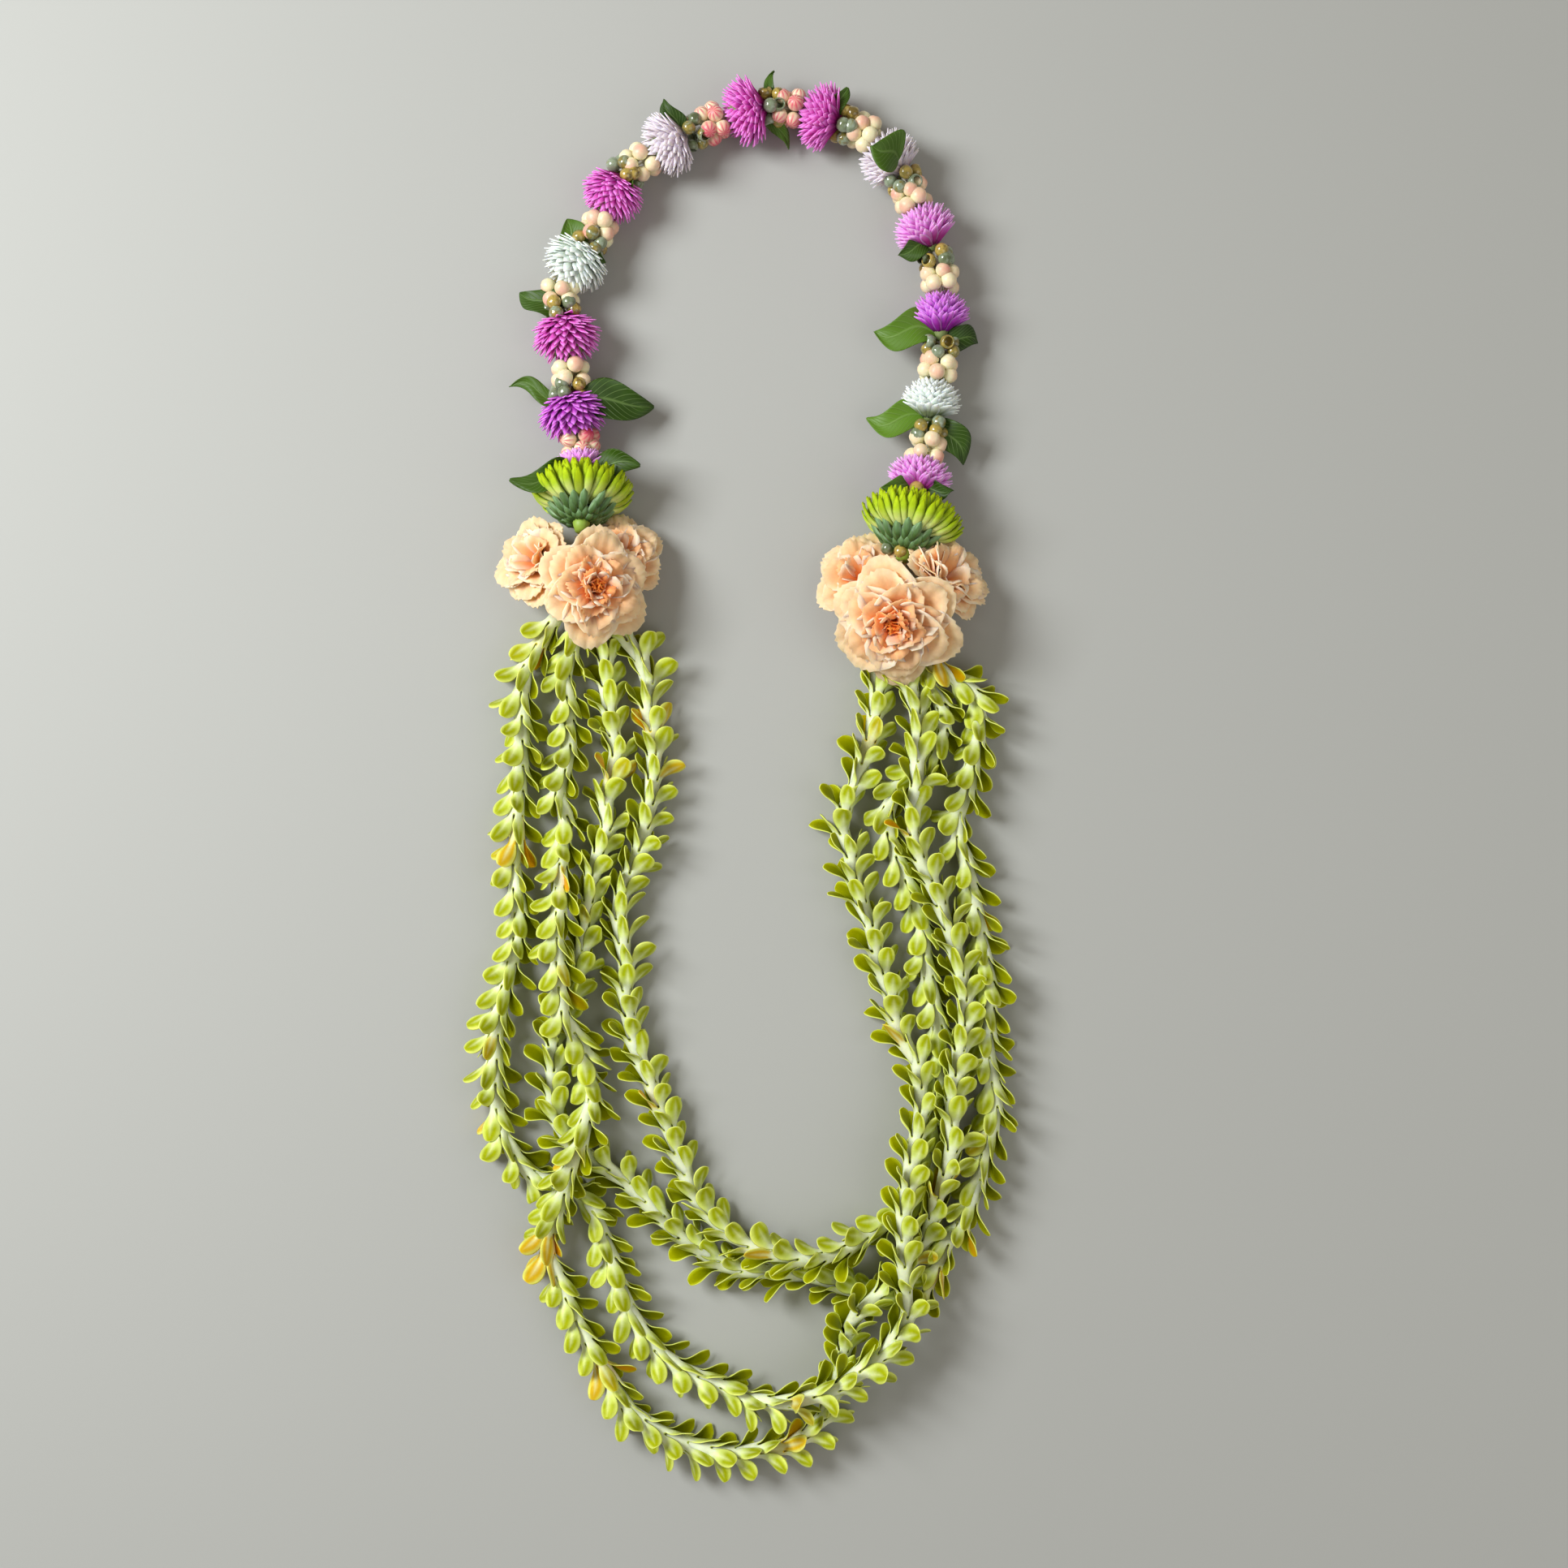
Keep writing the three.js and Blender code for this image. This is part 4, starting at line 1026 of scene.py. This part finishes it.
for slot in slots_of("head"):
    head = HEADS[slot["key"]]
    forward = slot["place"].col[2].to_3d() * (-1 if head.get("flip") else 1)
    here = place(slot["place"].translation, forward)
    wide, long, back = head["wide"] / 2 + 0.3, slot["long"], head["back"]
    rise = 0.5 + 0.18 * (back - 1)
    lift = 0.09 - 0.1 * back
    bm = new_mesh()
    for i in range(BRACTS):
        share = (i + 0.5) / BRACTS
        lean = math.acos(1 - back * share) * amaranths.uniform(0.96, 1.04)
        angle = i * GOLDEN_TURN + amaranths.gauss(0, 0.06)
        reach = amaranths.uniform(0.93, 1.04)
        ahead = long * (rise * math.cos(lean) * reach + lift)
        tip = polar(wide * math.sin(lean) * reach, angle, ahead)
        flare = BRACT_FLARE * lean
        inner = wide * math.sin(lean) - BRACT_LENGTH * math.sin(flare)
        root = polar(max(0.6, inner), angle, ahead - BRACT_LENGTH * math.cos(flare))
        facing = polar(1, angle, -0.3)
        grow(bm, amaranths, bract_kinds, here, root, tip, facing, 0.9, head.get("broad", 1))
    number = slot["key"] + 1
    node = f"globe_amaranth_{number:02}"
    skins = [BRACT_SKINS[head["tint"]]]
    piece(f"amaranth_head_{number:02}", bm, skins, [node], thick=BRACT_THICK)
    bm = new_mesh()
    heart(bm, here, 12, 8, wide * 0.55, long * 0.4)
    stalk(bm, here, 12, -long * 0.46, 3.4, 1.5, 2.8)
    piece(f"amaranth_core_{number:02}", bm, [CORE], [node])
    bm = new_mesh()
    root = here @ Vector((0, head.get("above", 0), -long * 0.42))
    for x, y, z, width, tone in head["leaves"]:
        tip = Vector((x, y, z))
        leaf_on(bm, root.lerp(tip, 0.08), tip, width, tone, amaranths)
    name = f"amaranth_leaves_{number:02}"
    piece(name, bm, [LEAF], [node], thick=LEAF_THICK, levels=1)


# The button chrysanthemums.
# Each is a half globe of narrow lime rays in a cup of dark green scales.
# The cup faces the carnations, and the thread passes through the middle of both.
# They lie tipped a little on their faces, which shows more of the cup from above.
MUM_R = 18.6
MUM_TILT = math.radians(20)
RAYS = 170
RAY_REACH = MUM_R + 0.8
RAY_DOME = 9.6
RAYS_BACK = 1.18
RAY_WIDTH = 3.2
RAY_THICK = 0.35
SCALES = 48
SCALE_ROWS = 3
SCALE_WIDTH = 3.3
SCALE_THICK = 1.0

mums = random.Random(8)

# Rays: lime green, yellow at the tip and whiter at the root, which is partly their own colour and
# partly painted highlight; the darker margin is painted shade between the rays.
RAY_SKIN = petal(
    "chrysanthemum_ray",
    [(0.0, "#eef6b4"), (0.5, "#dff090"), (0.78, "#b2d02e"), (1.0, "#aec410")],
    "#88a012",
    "#9cb010",
    0.4,
    gloss=0.5,
)
# Cup scales: waxy green; the dark root is painted shade where the scales overlap, and the grey green
# tip and edge are partly their own colour and partly painted highlight.
SCALE_SKIN = petal(
    "chrysanthemum_scale",
    [(0.0, "#1e2c0c"), (0.45, "#466432"), (1.0, "#7a9c6c")],
    "#a2bc98",
    "#38521e",
    0.34,
    gloss=0.6,
)


def strap(width, tip_share, channel, bow, hook=0):
    """A narrow petal of unit length along y with raised sides and a rounded tip that hooks inward."""
    bm = new_mesh()

    def shape(along, across):
        past = max(0, along - tip_share) / (1 - tip_share)
        wide = min(1, 0.45 + along * 1.1) * math.sqrt(max(0.02, 1 - past**2))
        rise = bow * math.sin(along * math.pi) - hook * (max(0, along - 0.6) / 0.4) ** 2
        return Vector((across * wide * width / 2, along, rise - across * across * channel))

    blade(bm, 7, 4, shape)
    return as_mesh("strap", bm)


ray_kinds = [
    strap(RAY_WIDTH, 0.72, mums.uniform(0.4, 0.8), mums.uniform(0.8, 1.7), 2.2) for _ in range(6)
]
scale_kinds = [strap(SCALE_WIDTH, 0.55, 1.1, mums.uniform(1.1, 1.7)) for _ in range(3)]

# The flower's solid middle: matt dark green, darkened as painted shade where it shows between the rays.
MUM_CORE = surface("chrysanthemum_core", "#465a14", 0.7)
# The cut stalk: smooth light green.
MUM_STALK = surface("chrysanthemum_stalk", "#8fae40", 0.5)

for slot in slots_of("mum"):
    side = slot["key"]
    forward = slot["place"].col[2].to_3d() * (-1 if side == "left" else 1)
    here = place(slot["place"].translation, forward) @ Matrix.Rotation(MUM_TILT, 4, "X")
    node = f"button_mum_{side}"
    bm = new_mesh()
    for i in range(RAYS):
        share = (i + 0.5) / RAYS
        lean = math.acos(1 - RAYS_BACK * share) * mums.uniform(0.98, 1.02)
        angle = i * GOLDEN_TURN + mums.gauss(0, 0.04)
        reach = mums.uniform(0.97, 1.02)
        ahead = 1 + RAY_DOME * math.cos(lean) * reach
        tip = polar(RAY_REACH * math.sin(lean) * reach, angle, ahead)
        root = polar(5 * math.sin(lean), angle, -5 + math.cos(lean))
        grow(bm, mums, ray_kinds, here, root, tip, polar(1, angle, -0.9), 0.95)
    piece(f"chrysanthemum_rays_{side}", bm, [RAY_SKIN], [node], thick=RAY_THICK)
    bm = new_mesh()
    for i in range(SCALES):
        row = i % SCALE_ROWS
        turns = (i // SCALE_ROWS + row / SCALE_ROWS) * SCALE_ROWS / SCALES
        angle = turns * math.tau + mums.gauss(0, 0.05)
        root = polar(2.2 + row * 1.4, angle, -10.4 + row * 0.6)
        tip = polar(7.4 + row * 2.8, angle, -8 + row * 2.2)
        tip = root.lerp(tip, mums.uniform(0.85, 1.15))
        grow(bm, mums, scale_kinds, here, root, tip, polar(1, angle, -0.9), 1)
    piece(f"chrysanthemum_cup_{side}", bm, [SCALE_SKIN], [node], thick=SCALE_THICK)
    bm = new_mesh()
    heart(bm, here, 14, 9, MUM_R * 0.5, 5.5)
    piece(f"chrysanthemum_core_{side}", bm, [MUM_CORE], [node])
    bm = new_mesh()
    stalk(bm, here, 14, -11.2, 5, 2.2, 3.6)
    piece(f"chrysanthemum_stalk_{side}", bm, [MUM_STALK], [node])


# The spray carnations.
# Soft ruffled flowers with toothed petals that rise in tiers out of a green calyx tube.
# A stitch through the calyx holds each at the knot: a full one on top, two smaller ones under it.
CARNATION_THICK = 0.35
CARNATION_CLEAR = 0.4
PETAL_COLUMNS = 22
# For each: its calyx's foot, the flower's middle, how far the petals reach, how closed it is,
# and how many tiers it has. The ones pressed under a front flower lack the inner tiers.
CARNATIONS = {
    "left_front": ((-56, 65, 12), (-51.5, 65, 25), 21.2, 0, 6),
    "left_side": ((-66.5, 72, 6), (-73.5, 75, 15.5), 19, 0.4, 4),
    "left_back": ((-46, 72.5, 3.5), (-44, 77, 14.5), 17.5, 0, 4),
    "right_front": ((56, 58, 12), (53, 52, 25), 24.2, 0, 6),
    "right_side": ((63.5, 64, 6), (71.5, 70, 15.5), 20, 0.4, 4),
    "right_inner": ((45.5, 65, 3.5), (42.5, 69.5, 14.5), 18.5, 0, 4),
}
# Each tier's petals: how many, how far out and how high their tips are, and how wide they are.
TIERS = (
    (6, 1.0, 0.8, 1.08),
    (6, 0.9, 0.98, 0.98),
    (5, 0.74, 1.14, 0.88),
    (5, 0.52, 1.28, 0.66),
    (5, 0.32, 1.38, 0.5),
    (5, 0.03, 1.34, 0.34),
)

carnations = random.Random(21)

# Petals: matt and soft, peach in the body, orange in the middle tiers, and cream at the margin, which
# is partly their own colour and partly painted highlight.
CARNATION = petal(
    "carnation_petal",
    [(0.0, "#f88c44"), (0.4, "#fcae72"), (0.75, "#fec592"), (1.0, "#fed8b0")],
    "#ffecd6",
    "#ff8c3c",
    0.7,
    soft=0.5,
    streak=0.6,
    old_from=0.25,
)
# Calyx: a smooth pale green tube.
CALYX = surface("carnation_calyx", "#8ea860", 0.5, bump=0.2, grain=0.8)


def ruffled(bm, here, tier, angle, radius, height, closed, rng):
    """One petal: a narrow claw that fans out into a wavy, toothed edge."""
    _, out, high, wide = TIERS[tier]
    reach = radius * out * (rng.uniform(0.9, 1.04) - closed * rng.uniform(0, 0.3))
    rise = height * (high + closed * (0.42 - 0.1 * tier)) + rng.uniform(-0.8, 0.8) * (1 + 2 * closed)
    root = Vector((1.3, height * 0.45))
    knee = Vector((reach * 0.3, root.y + (rise - root.y) * 0.9))
    tip = Vector((reach, rise))
    width = radius * wide * rng.uniform(0.9, 1.15)
    waves = rng.uniform(0.6, 1.1) + 0.2 * tier
    phase = rng.uniform(0, math.tau)
    deep = rng.uniform(0.5, 1.1) + 0.25 * tier

    def shape(along, across):
        centre = root * (1 - along) ** 2 + knee * (2 * along * (1 - along)) + tip * along**2
        slope = ((knee - root) * (1 - along) + (tip - knee) * along).normalized()
        cupped = width * across * across * along
        tooth = (0.26 + 0.26 * math.sin(7 * across + 3 * phase)) * max(0, along - 0.85) / 0.15
        tooth *= 1 if round((across + 1) / 2 * PETAL_COLUMNS) % 2 else -1
        ruffle = deep * along**1.6 * math.sin(waves * across * math.pi + phase)
        ruffle += 0.3 * along**3 * math.sin(5 * across * math.pi + 2 * phase)
        centre = centre + slope * (tooth - 0.2 * cupped)
        centre = centre + Vector((-slope.y, slope.x)) * (ruffle + 0.12 * cupped)
        lateral = across * width / 2 * (0.12 + 0.88 * along**0.8)
        around = angle + lateral / max(centre.x + 6, 7)
        flat = polar(max(centre.x, 0.4), angle, centre.y)
        point = here @ (flat + Vector((-math.sin(around), math.cos(around), 0)) * lateral)
        point.z = max(point.z, CARNATION_CLEAR)
        return point

    blade(bm, 7, PETAL_COLUMNS, shape, tone=tier / (len(TIERS) - 1) * (1 - 0.8 * closed))


for name, (foot, middle, radius, closed, tiers) in CARNATIONS.items():
    foot, middle = Vector(foot), Vector(middle)
    here = place(foot, middle - foot)
    height = (middle - foot).length
    bm = new_mesh()
    for tier, (count, *_) in enumerate(TIERS[:tiers]):
        start = carnations.uniform(0, math.tau)
        for i in range(count):
            angle = start + (i + carnations.uniform(-0.15, 0.15)) * math.tau / count
            ruffled(bm, here, tier, angle, radius, height, closed, carnations)
    node = f"carnation_{name}"
    skins = [CARNATION]
    piece(f"carnation_petals_{name}", bm, skins, [node], thick=CARNATION_THICK)
    bm = new_mesh()
    stalk(bm, here, 16, height * 0.28, height * 0.56, 2.8, 4.2)
    piece(f"carnation_calyx_{name}", bm, [CALYX], [node])


# Light, table and camera.
# A plain pale table under a large soft lamp and a weaker one opposite.
# The camera looks straight down from three quarters of a metre.
# What the camera looks at, how high it hangs, and the size of its lens and its sensor.
CENTRE = Vector((14.5, -4.1, 0))
CAMERA_UP = 756.7
LENS = 48
SENSOR = 36
TABLE_HALF = 1500
# The lamps are a little cool, as daylight is, and a warm light from all round fills the shadows.
DAYLIGHT = (0.96, 0.985, 1.0)
ROOM = "#efe6d8"
ROOM_LIGHT = 0.36
# Each lamp's place and width, and its power in watts.
LAMPS = {
    "key_lamp": ((-780, 330, 820), 520, 16),
    "fill_lamp": ((700, -300, 800), 900, 2.5),
}

# The table: matt pale grey stone, without a pattern.
TABLE = surface("pale_table", "#aeafab", 0.8)
bm = bmesh.new()
bmesh.ops.create_grid(bm, x_segments=1, y_segments=1, size=TABLE_HALF * MM)
mesh = as_mesh("table", bm)
mesh.materials.append(TABLE)
table = in_scene("table", mesh)

for label, (spot, size, power) in LAMPS.items():
    lamp = bpy.data.lights.new(label, "AREA")
    lamp.size = size * MM
    lamp.energy = power
    lamp.color = DAYLIGHT
    holder = in_scene(label, lamp)
    holder.location = Vector(spot) * MM
    holder.rotation_euler = (-Vector(spot)).to_track_quat("-Z", "Y").to_euler()

world = bpy.data.worlds.new("studio")
world.use_nodes = True
background = world.node_tree.nodes["Background"]
background.inputs["Color"].default_value = linear(ROOM)
background.inputs["Strength"].default_value = ROOM_LIGHT
bpy.context.scene.world = world

lens = bpy.data.cameras.new("camera")
lens.lens = LENS
lens.sensor_width = SENSOR
camera = in_scene("camera", lens)
camera.location = (CENTRE + Vector((0, 0, CAMERA_UP))) * MM
bpy.context.scene.camera = camera
bpy.context.scene.view_settings.view_transform = "Standard"
